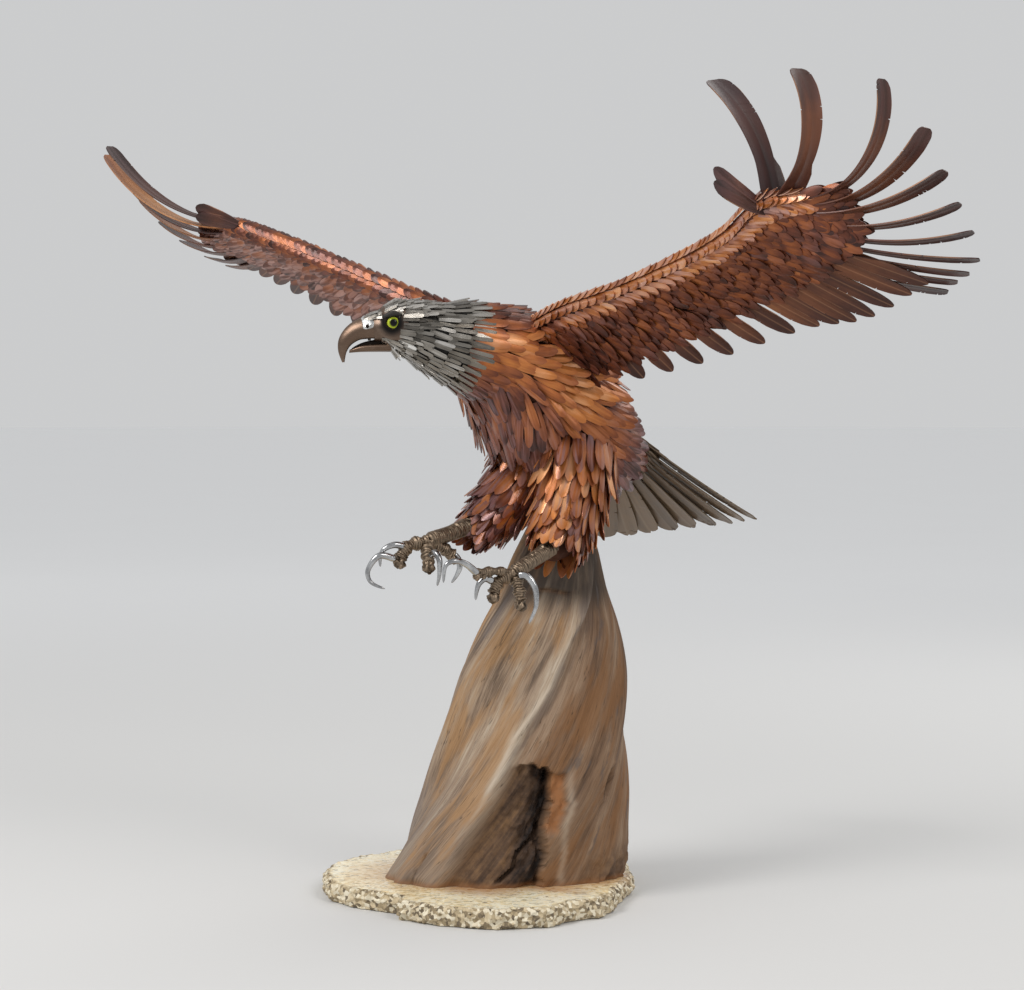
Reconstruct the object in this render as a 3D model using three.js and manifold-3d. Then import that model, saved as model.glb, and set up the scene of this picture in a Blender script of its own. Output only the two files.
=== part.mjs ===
// Scrap metal eagle landing on a driftwood stump that stands on a broken slab of granite.
// Millimetres, +Z up. The eagle faces -Y and its left wing is on +X.
// The origin is the centre of the slab's underside.
import * as THREE from 'three';
import { mergeVertices } from 'three/addons/utils/BufferGeometryUtils.js';
import Module from 'manifold-3d';

const wasm = await Module();
wasm.setup();

// ---------------------------------------------------------------- driving dimensions

const FIT_GAP = 0.6; // how far a cutting piece is grown before it cuts its neighbour
const SHEET = 2.6; // thickness of the sheet metal feathers

// Granite slab: its broken outline, seen from above, and its thickness
const SLAB_THICKNESS = 30;
const SLAB_OUTLINE = [
  [-180, -142], [-122, -156], [-28, -148], [-10, -176], [70, -168], [148, -136], [200, -76],
  [204, -14], [224, 18], [216, 58], [180, 140], [164, 190], [116, 248], [70, 300], [18, 296],
  [-60, 284], [-150, 240], [-224, 172], [-262, 110], [-282, 40], [-276, -30], [-242, -88],
];
const SLAB_EDGE = [ // height up the edge, share of the outline's reach, depth of the chips
  { height: 0, reach: 0.985, chip: 3 },
  { height: 9, reach: 1.0, chip: 5 },
  { height: 22, reach: 0.996, chip: 5 },
  { height: SLAB_THICKNESS, reach: 0.978, chip: 4 },
];

// Driftwood stump: centre, half width, half depth and the turn of its ridges at each height
const STUMP_SIDES = 20;
const STUMP = [
  { z: 30.3, x: -8, y: 64, across: 178, deep: 118, turn: 0 },
  { z: 60, x: -1, y: 73, across: 174, deep: 114, turn: 8 },
  { z: 105, x: 8, y: 84, across: 164, deep: 108, turn: 20 },
  { z: 160, x: 21, y: 97, across: 154, deep: 103, turn: 34 },
  { z: 220, x: 30, y: 108, across: 145, deep: 98, turn: 50 },
  { z: 285, x: 34, y: 117, across: 134, deep: 92, turn: 68 },
  { z: 350, x: 34, y: 126, across: 124, deep: 85, turn: 88 },
  { z: 410, x: 37, y: 134, across: 107, deep: 77, turn: 106 },
  { z: 460, x: 38, y: 141, across: 87, deep: 69, turn: 120 },
  { z: 520, x: 38, y: 147, across: 66, deep: 57, turn: 135 },
  { z: 580, x: 40, y: 154, across: 44, deep: 42, turn: 150 },
];
const STUMP_HEADING = 38; // degrees the stump's broad side is turned from the X axis
const STUMP_RIDGES = [
  { count: 3, depth: 0.055, phase: 20 },
  { count: 5, depth: 0.04, phase: 75 },
  { count: 8, depth: 0.022, phase: 10 },
];
const ROT_HOLLOW = { x: 64, y: -8, z: 128, width: 44, depth: 60, height: 88, lean: 12 };

// Body: stations along its axis, from the neck to the root of the tail
const BODY = [
  { x: 31, y: -19.2, z: 829.6, across: 62, deep: 66 },
  { x: 37, y: 24, z: 811, across: 86, deep: 80 },
  { x: 44, y: 66, z: 784, across: 101, deep: 96 },
  { x: 50, y: 108, z: 750, across: 104, deep: 100 },
  { x: 55, y: 152, z: 715, across: 98, deep: 90 },
  { x: 60, y: 195, z: 688, across: 84, deep: 74 },
  { x: 64, y: 236, z: 672, across: 60, deep: 52 },
  { x: 67, y: 268, z: 665, across: 38, deep: 28 },
];
const BODY_FEATHERS = { rows: 6, around: 12, lift: 9 };
const THIGH_FEATHERS = { rows: 3, around: 8, lift: 8 };
const THIGHS = {
  right: [
    { x: 34, y: 116, z: 700, across: 50, deep: 60 },
    { x: 25, y: 84, z: 640, across: 42, deep: 46 },
    { x: 7, y: 38, z: 590, across: 34, deep: 34 },
    { x: -6, y: 6, z: 560, across: 19, deep: 19 },
  ],
  left: [
    { x: 104, y: 118, z: 690, across: 54, deep: 68 },
    { x: 112, y: 90, z: 622, across: 46, deep: 56 },
    { x: 120, y: 50, z: 562, across: 36, deep: 42 },
    { x: 125, y: 18, z: 532, across: 19, deep: 19 },
  ],
};

// Head: hood of narrow strips, its stations from the face back to the collar
const HOOD = [
  { x: -47, y: -165, z: 867, across: 22, deep: 25 },
  { x: -36, y: -153, z: 868, across: 30, deep: 34 },
  { x: -16, y: -131, z: 863, across: 38, deep: 42 },
  { x: 2, y: -101, z: 852, across: 46, deep: 52 },
  { x: 17, y: -62, z: 842, across: 57, deep: 63 },
  { x: 30.5, y: -21.6, z: 830.8, across: 65, deep: 70 },
];
const HOOD_STRIPS = { rows: 3, around: 12, lift: 5 };
const EYE = { radius: 11, along: 0.2, sink: 5, height: 0.12 };
const BEAK_SIDES = 8;
const BEAK_UPPER = [ // centre line, half width and half height of each section, and its tilt
  { x: -46, y: -164, z: 869, across: 17, deep: 18, tilt: 0 },
  { x: -62, y: -179, z: 868, across: 14.5, deep: 17, tilt: 14 },
  { x: -75, y: -191, z: 861, across: 11.5, deep: 14.5, tilt: 34 },
  { x: -83, y: -199, z: 847, across: 8, deep: 10.5, tilt: 58 },
  { x: -86, y: -203, z: 831, across: 5, deep: 6.5, tilt: 78 },
  { x: -85, y: -202, z: 815, across: 1.6, deep: 1.8, tilt: 92 },
];
const BEAK_LOWER = [
  { x: -38, y: -157, z: 838, across: 13, deep: 6, tilt: -10 },
  { x: -55, y: -172, z: 838, across: 11, deep: 5.5, tilt: -4 },
  { x: -70, y: -186, z: 837, across: 7.5, deep: 4.5, tilt: 4 },
  { x: -77, y: -193, z: 836, across: 3, deep: 2.4, tilt: 8 },
];
const HEADING = new THREE.Vector3(-0.7, -0.714, 0); // the way the beak points

// Wings, by stations along the leading edge. rake (degrees back from straight outwards) and droop
// give the way the coverts run, coverts how far they reach and thick the thickness of the arm.
// fan, fall and length do the same for the secondary feathers.
const ARM_FEATHERS = { rows: 3, along: 10, lift: 7 };
const SECONDARY_ROOT = 0.5; // where a secondary starts, as a share of the coverts' reach
const LEFT_WING = {
  name: 'left',
  side: 1,
  stations: [
    { x: 60, y: 34, z: 868, rake: 80, droop: 50, coverts: 96, thick: 46, fan: 80, fall: 50, length: 80 },
    { x: 151, y: 8, z: 898, rake: 68, droop: 50, coverts: 104, thick: 30, fan: 68, fall: 50, length: 100 },
    { x: 267, y: -4, z: 927, rake: 56, droop: 42, coverts: 108, thick: 22, fan: 56, fall: 40, length: 122 },
    { x: 379, y: -17, z: 963, rake: 46, droop: 31, coverts: 118, thick: 20, fan: 46, fall: 31, length: 148 },
    { x: 452, y: -28, z: 992, rake: 42, droop: 32, coverts: 122, thick: 18, fan: 42, fall: 31, length: 176 },
    { x: 518, y: -39, z: 1031, rake: 40, droop: 46, coverts: 116, thick: 17, fan: 32, fall: 23, length: 200 },
    { x: 590, y: -16, z: 1040, rake: 26, droop: 56, coverts: 66, thick: 15, fan: 26, fall: 20, length: 205 },
  ],
  secondaries: { count: 13, from: 0.22, to: 0.84, width: 27, roll: 42 },
  primaries: [
    { x: 539, y: -32, z: 1024, rake: -8, rise: 96, curl: 50, length: 218, width: 44, roll: 0 },
    { x: 547, y: -27, z: 1032, rake: -8, rise: 34, curl: 94, length: 200, width: 42, roll: 0 },
    { x: 572, y: -15, z: 1034, rake: -8, rise: -8, curl: 112, length: 238, width: 30, roll: 0 },
    { x: 580, y: -9, z: 1022, rake: -4, rise: -4, curl: 62, length: 220, width: 34, roll: 12 },
    { x: 572, y: -10, z: 1012, rake: 2, rise: -6, curl: 38, length: 222, width: 30, roll: 14 },
    { x: 575, y: -4, z: 1001, rake: 8, rise: -12, curl: 34, length: 222, width: 28, roll: 12 },
    { x: 556, y: -6, z: 999, rake: 14, rise: -20, curl: 33, length: 252, width: 27, roll: 12 },
    { x: 549, y: -4, z: 989, rake: 19, rise: -17, curl: 16, length: 262, width: 27, roll: 12 },
    { x: 565, y: 8, z: 974, rake: 24, rise: -17, curl: 12, length: 227, width: 27, roll: 14 },
    { x: 560, y: 17, z: 961, rake: 29, rise: -16, curl: 10, length: 211, width: 27, roll: 14 },
    { x: 552, y: 25, z: 947, rake: 33, rise: -14, curl: 6, length: 202, width: 27, roll: 16 },
  ],
  alula: { x: 530, y: -34, z: 1018, rake: -122, rise: 30, length: 96, width: 26, roll: 70 },
};
const RIGHT_WING = {
  name: 'right',
  side: -1,
  stations: [
    { x: 4, y: 34, z: 870, rake: 72, droop: 38, coverts: 96, thick: 46, fan: 72, fall: 38, length: 82 },
    { x: -89, y: -12, z: 908, rake: 58, droop: 36, coverts: 100, thick: 30, fan: 58, fall: 36, length: 100 },
    { x: -216, y: -16, z: 954, rake: 44, droop: 28, coverts: 100, thick: 22, fan: 44, fall: 28, length: 120 },
    { x: -317, y: -21, z: 990, rake: 34, droop: 17, coverts: 104, thick: 20, fan: 34, fall: 17, length: 138 },
    { x: -390, y: -26, z: 1014, rake: 28, droop: 12, coverts: 104, thick: 18, fan: 28, fall: 12, length: 138 },
    { x: -452, y: -30, z: 1033, rake: 24, droop: 12, coverts: 92, thick: 17, fan: 24, fall: 12, length: 134 },
    { x: -506, y: -12, z: 1040, rake: 18, droop: 10, coverts: 52, thick: 14, fan: 20, fall: 10, length: 124 },
  ],
  secondaries: { count: 12, from: 0.18, to: 0.72, width: 27, roll: 30 },
  primaries: [
    { x: -478, y: -28, z: 1040, rake: -8, rise: 4, curl: 48, length: 298, width: 30, roll: 20 },
    { x: -478, y: -22, z: 1033, rake: -4, rise: -2, curl: 54, length: 324, width: 30, roll: 20 },
    { x: -478, y: -15, z: 1026, rake: 1, rise: -5, curl: 53, length: 304, width: 30, roll: 20 },
    { x: -476, y: -8, z: 1018, rake: 6, rise: -8, curl: 47, length: 284, width: 30, roll: 20 },
    { x: -474, y: 0, z: 1010, rake: 11, rise: -10, curl: 40, length: 262, width: 30, roll: 20 },
    { x: -470, y: 8, z: 1002, rake: 16, rise: -11, curl: 32, length: 238, width: 30, roll: 20 },
    { x: -466, y: 19, z: 991, rake: 22, rise: -11, curl: 24, length: 208, width: 30, roll: 20 },
    { x: -458, y: 30, z: 981, rake: 27, rise: -9, curl: 16, length: 184, width: 30, roll: 20 },
  ],
  alula: { x: -456, y: -40, z: 1036, rake: -50, rise: 18, length: 72, width: 24, roll: 55 },
};

// Tail: a fan of nine feathers, numbered from the left of the bird
const TAIL = {
  count: 9,
  leftRoot: new THREE.Vector3(92, 264, 707),
  rightRoot: new THREE.Vector3(44, 264, 652),
  spread: 35,
  leftFall: 36,
  rightFall: 33,
  length: 260,
  width: 44,
};

// Legs: the shank and toes follow these points, thickest at the knuckles
const LEG_SIDES = 5;
const LEGS = {
  left: {
    shank: [[129, 12, 541], [132, -34, 526], [127, -72, 510]],
    shankRadius: 12,
    toes: [
      { points: [[127, -72, 510], [122, -110, 515], [118, -147, 515]], radius: 6 },
      { points: [[127, -72, 510], [121, -98, 500], [119, -110, 482]], radius: 8.5 },
      { points: [[127, -72, 510], [138, -74, 490], [144, -76, 470]], radius: 8.5 },
    ],
    talons: [
      [[119, -144, 513], [116, -166, 528], [110, -184, 534], [102, -196, 527], [99, -197, 503]],
      [[119, -110, 500], [115, -122, 505], [110, -130, 498], [107, -132, 487], [105, -132, 474]],
      [[137, -76, 506], [149, -70, 507], [161, -65, 490], [163, -65, 464], [154, -70, 438]],
    ],
  },
  right: {
    shank: [[-8, 2, 573], [-5, -52, 562], [-10, -102, 552]],
    shankRadius: 13,
    toes: [
      { points: [[-10, -102, 552], [-20, -134, 546], [-24, -150, 528]], radius: 9 },
      { points: [[-10, -102, 548], [4, -118, 534], [14, -128, 522]], radius: 8.5 },
      { points: [[-10, -102, 550], [-2, -78, 541], [6, -60, 530]], radius: 8 },
    ],
    talons: [
      [[-20, -142, 546], [-27, -157, 549], [-36, -169, 543], [-42, -171, 532], [-43, -170, 517]],
      [[-24, -156, 528], [-36, -180, 534], [-47, -192, 514], [-44, -190, 496], [-27, -178, 486]],
      [[14, -124, 532], [26, -128, 538], [36, -130, 528], [36, -130, 508], [30, -128, 490]],
      [[5, -62, 531], [10, -56, 524], [12, -54, 512], [8, -56, 500], [1, -60, 488]],
    ],
  },
};
const KNUCKLE = 1.3; // how much thicker the toes are at their joints
const TALON_SIDES = 5;
const TALON_RADIUS = 4.8;

// ---------------------------------------------------------------- finishes

const COPPER = { color: 0x8a4320, roughness: 0.42, metalness: 0.85 };
const DARK_COPPER = { color: 0x5c2f1e, roughness: 0.4, metalness: 0.85 };
const GREY_STEEL = { color: 0x85888a, roughness: 0.4, metalness: 0.9 };
const BEAK_METAL = { color: 0x6b5346, roughness: 0.35, metalness: 0.85 };
const TAIL_METAL = { color: 0x6a6455, roughness: 0.55, metalness: 0.8 };
const BRONZE = { color: 0x6b5844, roughness: 0.5, metalness: 0.85 };
const POLISHED_STEEL = { color: 0xc4c8cb, roughness: 0.16, metalness: 1 };
const EYE_GLASS = { color: 0xb4c522, roughness: 0.06, metalness: 0 };
const DRIFTWOOD = { color: 0x85705a, roughness: 0.85, metalness: 0 };
const GRANITE = { color: 0xcfc3a2, roughness: 0.6, metalness: 0 };

// ---------------------------------------------------------------- helpers

const UP = new THREE.Vector3(0, 0, 1);

const radians = THREE.MathUtils.degToRad;

function point(station) {
  return new THREE.Vector3(station.x, station.y, station.z);
}

/** Unit vector from a rake (degrees back from straight outwards) and a rise (degrees). */
function heading(side, rake, rise) {
  const flat = Math.cos(radians(rise));
  return new THREE.Vector3(
    side * Math.cos(radians(rake)) * flat,
    Math.sin(radians(rake)) * flat,
    Math.sin(radians(rise)),
  );
}

/** Value of each named size at t (0 to 1) along a list of stations, smoothly between them. */
function along(stations, t) {
  const place = THREE.MathUtils.clamp(t, 0, 1) * (stations.length - 1);
  const index = Math.min(Math.floor(place), stations.length - 2);
  const f = place - index;
  const at = (i) => stations[THREE.MathUtils.clamp(i, 0, stations.length - 1)];
  const result = {};
  for (const key of Object.keys(stations[0])) {
    const [a, b, c, d] = [index - 1, index, index + 1, index + 2].map((i) => at(i)[key]);
    result[key] = b + 0.5 * f * (c - a + f * (2 * a - 5 * b + 4 * c - d + f * (3 * (b - c) + d - a)));
  }
  return result;
}

/** A closed mesh of rings of points, with a flat or pointed cap on each end. */
function loft(rings) {
  const sides = rings[0].length;
  const points = rings.flat();
  const caps = [rings[0], rings[rings.length - 1]];
  for (const ring of caps) {
    const middle = new THREE.Vector3();
    ring.forEach((p) => middle.addScaledVector(p, 1 / sides));
    points.push(middle);
  }
  const [firstHub, lastHub] = [points.length - 2, points.length - 1];
  const last = (rings.length - 1) * sides;
  const faces = [];
  for (let i = 0; i < sides; i += 1) {
    const next = (i + 1) % sides;
    for (let row = 0; row < last; row += sides) {
      faces.push(row + i, row + next, row + sides + next, row + i, row + sides + next, row + sides + i);
    }
    faces.push(firstHub, next, i, lastHub, last + i, last + next);
  }
  return solid(points, faces);
}

/** A manifold of the given points and faces, turned the right way out. */
function solid(points, faces) {
  let volume = 0;
  for (let i = 0; i < faces.length; i += 3) {
    const [a, b, c] = [points[faces[i]], points[faces[i + 1]], points[faces[i + 2]]];
    volume += a.dot(new THREE.Vector3().crossVectors(b, c));
  }
  const geometry = new THREE.BufferGeometry().setFromPoints(points);
  geometry.setIndex(volume < 0 ? faces.slice().reverse() : faces);
  const merged = mergeVertices(geometry, 1e-4);
  return new wasm.Manifold(new wasm.Mesh({
    numProp: 3,
    vertProperties: new Float32Array(merged.attributes.position.array),
    triVerts: new Uint32Array(merged.index.array),
  }));
}

/** An ellipse of points about a centre. */
function ring(centre, sideways, upwards, across, deep, sides) {
  const points = [];
  for (let i = 0; i < sides; i += 1) {
    const angle = (2 * Math.PI * i) / sides;
    points.push(centre.clone()
      .addScaledVector(sideways, across * Math.cos(angle))
      .addScaledVector(upwards, deep * Math.sin(angle)));
  }
  return points;
}

/** Frame of a tapering limb at t: centre, tangent, sideways, upwards and half sizes. */
function limbFrame(stations, t) {
  const here = along(stations, t);
  const step = 0.02;
  const tangent = point(along(stations, t + step)).sub(point(along(stations, t - step))).normalize();
  const sideways = new THREE.Vector3().crossVectors(UP, tangent).normalize();
  const upwards = new THREE.Vector3().crossVectors(tangent, sideways);
  return { centre: point(here), tangent, sideways, upwards, across: here.across, deep: here.deep };
}

/**
 * A limb clad in rows of pointed tongues laid like shingles. Each row flares out to its points and
 * steps back in, and its tongues lie half a tongue round from those of the row before.
 */
function shingledLimb(stations, { rows, around, lift }) {
  const sides = 2 * around;
  const pitch = 1 / (rows + 0.8);
  const rim = (start, reach, proud, turn) => {
    const points = [];
    for (let i = 0; i < sides; i += 1) {
      const t = Math.min(1, start + reach * ((i + turn) % 2));
      const f = limbFrame(stations, t);
      const angle = (2 * Math.PI * i) / sides;
      points.push(f.centre
        .addScaledVector(f.sideways, (f.across + proud) * Math.cos(angle))
        .addScaledVector(f.upwards, (f.deep + proud) * Math.sin(angle)));
    }
    return points;
  };
  const rings = [rim(0, 0, 0, 0)];
  for (let row = 1; row <= rows; row += 1) {
    rings.push(rim(row * pitch, 0.74 * pitch, lift, row));
    rings.push(rim((row + 0.03) * pitch, 0.74 * pitch, 0.1 * lift, row));
  }
  rings.push(rim(1, 0, -1, 0));
  return loft(rings);
}

function fuse(pieces) {
  return wasm.Manifold.union(pieces);
}

/** The same solid with every vertex pushed outwards by the fit gap. */
function grown(shape) {
  const mesh = shape.getMesh();
  const geometry = new THREE.BufferGeometry();
  geometry.setAttribute('position', new THREE.BufferAttribute(mesh.vertProperties.slice(), 3));
  geometry.setIndex(Array.from(mesh.triVerts));
  geometry.computeVertexNormals();
  const { position, normal } = geometry.attributes;
  const pushed = new Float32Array(position.array.length);
  for (let i = 0; i < pushed.length; i += 1) {
    pushed[i] = position.array[i] + FIT_GAP * normal.array[i];
  }
  return new wasm.Manifold(new wasm.Mesh({ numProp: 3, vertProperties: pushed, triVerts: mesh.triVerts }));
}

/** What is left of a shape after its neighbours are cut out of it: its largest single body. */
function clearOf(shape, ...neighbours) {
  const cutters = neighbours.flatMap((neighbour) => [neighbour, grown(neighbour)]);
  const bodies = shape.subtract(fuse(cutters)).decompose();
  return bodies.reduce((best, body) => (body.volume() > best.volume() ? body : best));
}

const eagle = new THREE.Group();

function place(name, shape, finish) {
  const mesh = shape.getMesh();
  const geometry = new THREE.BufferGeometry();
  geometry.setAttribute('position', new THREE.BufferAttribute(new Float32Array(mesh.vertProperties), 3));
  geometry.setIndex(Array.from(mesh.triVerts));
  geometry.computeVertexNormals();
  const piece = new THREE.Mesh(geometry, new THREE.MeshStandardMaterial(finish));
  piece.name = name;
  eagle.add(piece);
}

// ---------------------------------------------------------------- slab and stump

function makeSlab() {
  const rings = SLAB_EDGE.map(({ height, reach, chip }, level) => SLAB_OUTLINE.map(([x, y], i) => {
    const bite = chip * Math.sin(i * 2.4 + level * 1.9);
    const size = Math.hypot(x, y);
    const scale = reach + bite / size;
    return new THREE.Vector3(x * scale, y * scale, height);
  }));
  return loft(rings);
}

function makeStump() {
  const sideways = new THREE.Vector3(Math.cos(radians(STUMP_HEADING)), Math.sin(radians(STUMP_HEADING)), 0);
  const away = new THREE.Vector3().crossVectors(UP, sideways);
  const rings = STUMP.map((level) => {
    const points = [];
    for (let i = 0; i < STUMP_SIDES; i += 1) {
      const angle = (360 * i) / STUMP_SIDES;
      let swell = 1;
      for (const { count, depth, phase } of STUMP_RIDGES) {
        swell += depth * Math.cos(radians(count * (angle - level.turn) + phase));
      }
      points.push(point(level)
        .addScaledVector(sideways, level.across * swell * Math.cos(radians(angle)))
        .addScaledVector(away, level.deep * swell * Math.sin(radians(angle))));
    }
    return points;
  });
  return loft(rings);
}

function makeRotHollow() {
  const shape = new THREE.IcosahedronGeometry(1, 1);
  shape.scale(ROT_HOLLOW.width, ROT_HOLLOW.depth, ROT_HOLLOW.height);
  shape.rotateY(radians(ROT_HOLLOW.lean));
  shape.rotateZ(radians(STUMP_HEADING));
  shape.translate(ROT_HOLLOW.x, ROT_HOLLOW.y, ROT_HOLLOW.z);
  return fromGeometry(shape);
}

function fromGeometry(geometry) {
  geometry.deleteAttribute('normal');
  geometry.deleteAttribute('uv');
  const merged = mergeVertices(geometry, 1e-4);
  const { position } = merged.attributes;
  const points = [];
  for (let i = 0; i < position.count; i += 1) points.push(new THREE.Vector3().fromBufferAttribute(position, i));
  return solid(points, Array.from(merged.index.array));
}

// ---------------------------------------------------------------- feathers

/** Points and tangents of a feather's quill, which turns upwards by an even curl along its length. */
function quill(side, feather, steps) {
  const spine = [point(feather)];
  const tangents = [];
  for (let i = 0; i <= steps; i += 1) {
    const rise = feather.rise + (feather.curl ?? 0) * (i / steps);
    tangents.push(heading(side, feather.rake, rise));
    if (i > 0) {
      const middle = heading(side, feather.rake, rise - (0.5 * (feather.curl ?? 0)) / steps);
      spine.push(spine[i - 1].clone().addScaledVector(middle, feather.length / steps));
    }
  }
  return { spine, tangents };
}

/** A single flight feather: a narrow root, a full blade with a shallow ridge and a rounded tip. */
function blade(side, feather, steps = 5) {
  const { spine, tangents } = quill(side, feather, steps);
  const level = new THREE.Vector3(-side * Math.sin(radians(feather.rake)), Math.cos(radians(feather.rake)), 0);
  const rings = spine.map((centre, i) => {
    const f = i / steps;
    const roll = radians(-(feather.roll ?? 0) * side);
    const across = level.clone().applyAxisAngle(tangents[i], roll);
    const outward = new THREE.Vector3().crossVectors(tangents[i], across);
    const fullness = 0.45 + 0.55 * Math.min(1, f / 0.35);
    const tip = Math.sqrt(Math.max(0.04, 1 - Math.max(0, (f - 0.8) / 0.2) ** 2));
    const half = 0.5 * feather.width * fullness * tip;
    return [
      centre.clone().addScaledVector(across, -half),
      centre.clone().addScaledVector(outward, SHEET),
      centre.clone().addScaledVector(across, half),
    ];
  });
  return loft(rings);
}

// ---------------------------------------------------------------- wings

function wingFrame(wing, t) {
  const here = along(wing.stations, t);
  const step = 0.02;
  const span = point(along(wing.stations, t + step)).sub(point(along(wing.stations, t - step))).normalize();
  const run = heading(wing.side, here.rake, -here.droop);
  const outward = new THREE.Vector3().crossVectors(span, run).normalize().multiplyScalar(wing.side);
  return { edge: point(here), run, outward, ...here };
}

/**
 * The arm of a wing in its coverts: a thick leading edge that thins backwards in overlapping rows,
 * above and below. The rows' tips are pointed, and each row's lie between those of the row before.
 */
function makeArm(wing) {
  const { rows, along: count, lift } = ARM_FEATHERS;
  const steps = 2 * count;
  const rings = [];
  for (let i = 0; i <= steps; i += 1) {
    const f = wingFrame(wing, i / steps);
    const at = (back, up) => f.edge.clone()
      .addScaledVector(f.run, back * f.coverts)
      .addScaledVector(f.outward, up);
    const face = (side) => {
      const points = [at(0.06, side * 0.4 * f.thick)];
      for (let row = 1; row <= rows; row += 1) {
        const tip = (row - 0.1 + 0.3 * ((i + row) % 2)) / (rows + 0.2);
        const flank = 0.46 * f.thick * (1 - 0.75 * tip);
        points.push(at(tip, side * (flank + lift * (row < rows ? 1 - 0.4 * tip : 0.1))));
        if (row < rows) points.push(at(tip + 0.012, side * flank));
      }
      return points;
    };
    rings.push([at(-0.02, 0), ...face(1), ...face(-1).reverse()]);
  }
  return loft(rings);
}

function makeSecondaries(wing) {
  const { count, from, to, width, roll } = wing.secondaries;
  const pieces = [];
  for (let i = 0; i < count; i += 1) {
    const f = wingFrame(wing, from + ((to - from) * i) / (count - 1));
    const { x, y, z } = f.edge.clone().addScaledVector(f.run, SECONDARY_ROOT * f.coverts);
    const feather = { x, y, z, rake: f.fan, rise: -f.fall, curl: 4, length: f.length, width, roll };
    pieces.push(blade(wing.side, feather, 3));
  }
  return pieces;
}

function makeWing(wing, body) {
  const shell = fuse([makeArm(wing), ...makeSecondaries(wing)]);
  const whole = clearOf(shell, body);
  place(`${wing.name}_wing`, whole, COPPER);
  const placed = [whole];
  wing.primaries.forEach((feather, i) => {
    const piece = clearOf(blade(wing.side, feather, feather.curl > 40 ? 7 : 4), ...placed);
    placed.push(piece);
    place(`${wing.name}_primary_${String(i + 1).padStart(2, '0')}`, piece, DARK_COPPER);
  });
  const thumb = { ...wing.alula, curl: 10 };
  const second = { ...thumb, rake: thumb.rake + 6, rise: thumb.rise - 12, length: thumb.length * 0.94 };
  const pair = fuse([blade(wing.side, thumb, 4), blade(wing.side, second, 4)]);
  place(`${wing.name}_alula`, clearOf(pair, ...placed), DARK_COPPER);
}

// ---------------------------------------------------------------- head

function beakPart(stations) {
  const sideways = new THREE.Vector3().crossVectors(UP, HEADING).normalize();
  return loft(stations.map((s) => {
    const upwards = UP.clone().multiplyScalar(Math.cos(radians(s.tilt)))
      .addScaledVector(HEADING, Math.sin(radians(s.tilt)));
    return ring(point(s), sideways, upwards, s.across, s.deep, BEAK_SIDES);
  }));
}

function makeEye(side) {
  const f = limbFrame(HOOD, EYE.along);
  const centre = f.centre.clone()
    .addScaledVector(f.sideways, side * (f.across - EYE.sink))
    .addScaledVector(f.upwards, EYE.height * f.deep);
  const shape = new THREE.IcosahedronGeometry(EYE.radius, 1);
  shape.translate(centre.x, centre.y, centre.z);
  return fromGeometry(shape);
}

// ---------------------------------------------------------------- legs and tail

/** A round bar through points, fatter at the joints. */
function bar(points, radius, sides, steps, knuckle = 1) {
  const path = new THREE.CatmullRomCurve3(points.map(([x, y, z]) => new THREE.Vector3(x, y, z)));
  const frames = path.computeFrenetFrames(steps);
  const rings = [];
  for (let i = 0; i <= steps; i += 1) {
    const size = typeof radius === 'function' ? radius(i / steps) : radius * (i % 2 ? 1 : knuckle);
    rings.push(ring(path.getPointAt(i / steps), frames.normals[i], frames.binormals[i], size, size, sides));
  }
  return loft(rings);
}

function makeLeg(name, leg, body) {
  const pieces = [bar(leg.shank, leg.shankRadius, LEG_SIDES, 3)];
  leg.toes.forEach((toe) => pieces.push(bar(toe.points, toe.radius, LEG_SIDES, 4, KNUCKLE)));
  const shank = clearOf(fuse(pieces), body);
  place(`${name}_leg`, shank, BRONZE);
  const placed = [shank];
  leg.talons.forEach((talon, i) => {
    const claw = bar(talon, (f) => TALON_RADIUS * (1.15 - f) ** 0.7, TALON_SIDES, 6);
    const piece = clearOf(claw, ...placed);
    placed.push(piece);
    place(`${name}_talon_${i + 1}`, piece, POLISHED_STEEL);
  });
}

function makeTail(body) {
  const placed = [body];
  for (let i = 0; i < TAIL.count; i += 1) {
    const f = i / (TAIL.count - 1);
    const root = TAIL.leftRoot.clone().lerp(TAIL.rightRoot, f);
    const feather = {
      x: root.x,
      y: root.y,
      z: root.z,
      rake: 90 - TAIL.spread + 2 * TAIL.spread * f,
      rise: -THREE.MathUtils.lerp(TAIL.leftFall, TAIL.rightFall, f),
      curl: 6,
      length: TAIL.length,
      width: TAIL.width,
    };
    const piece = clearOf(blade(1, feather), ...placed);
    placed.push(piece);
    place(`tail_feather_${i + 1}`, piece, TAIL_METAL);
  }
}

// ---------------------------------------------------------------- assembly

const slab = makeSlab();
place('granite_slab', slab, GRANITE);

const thighs = Object.values(THIGHS).map((stations) => shingledLimb(stations, THIGH_FEATHERS));
const torso = shingledLimb(BODY, BODY_FEATHERS);
const stump = makeStump().subtract(makeRotHollow());
place('driftwood_stump', stump, DRIFTWOOD);
const hood = shingledLimb(HOOD, HOOD_STRIPS);
const body = clearOf(fuse([torso, ...thighs]), stump, hood);
place('body', body, COPPER);

const upperBeak = beakPart(BEAK_UPPER);
const lowerBeak = clearOf(beakPart(BEAK_LOWER), upperBeak);
const eyes = [makeEye(1), makeEye(-1)];
place('head_hood', clearOf(hood, upperBeak, lowerBeak, ...eyes), GREY_STEEL);
place('beak_upper', upperBeak, BEAK_METAL);
place('beak_lower', lowerBeak, BEAK_METAL);
place('eye_right', eyes[0], EYE_GLASS);
place('eye_left', eyes[1], EYE_GLASS);

makeWing(LEFT_WING, body);
makeWing(RIGHT_WING, body);
makeLeg('left', LEGS.left, body);
makeLeg('right', LEGS.right, body);
makeTail(body);

export default eagle;
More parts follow.
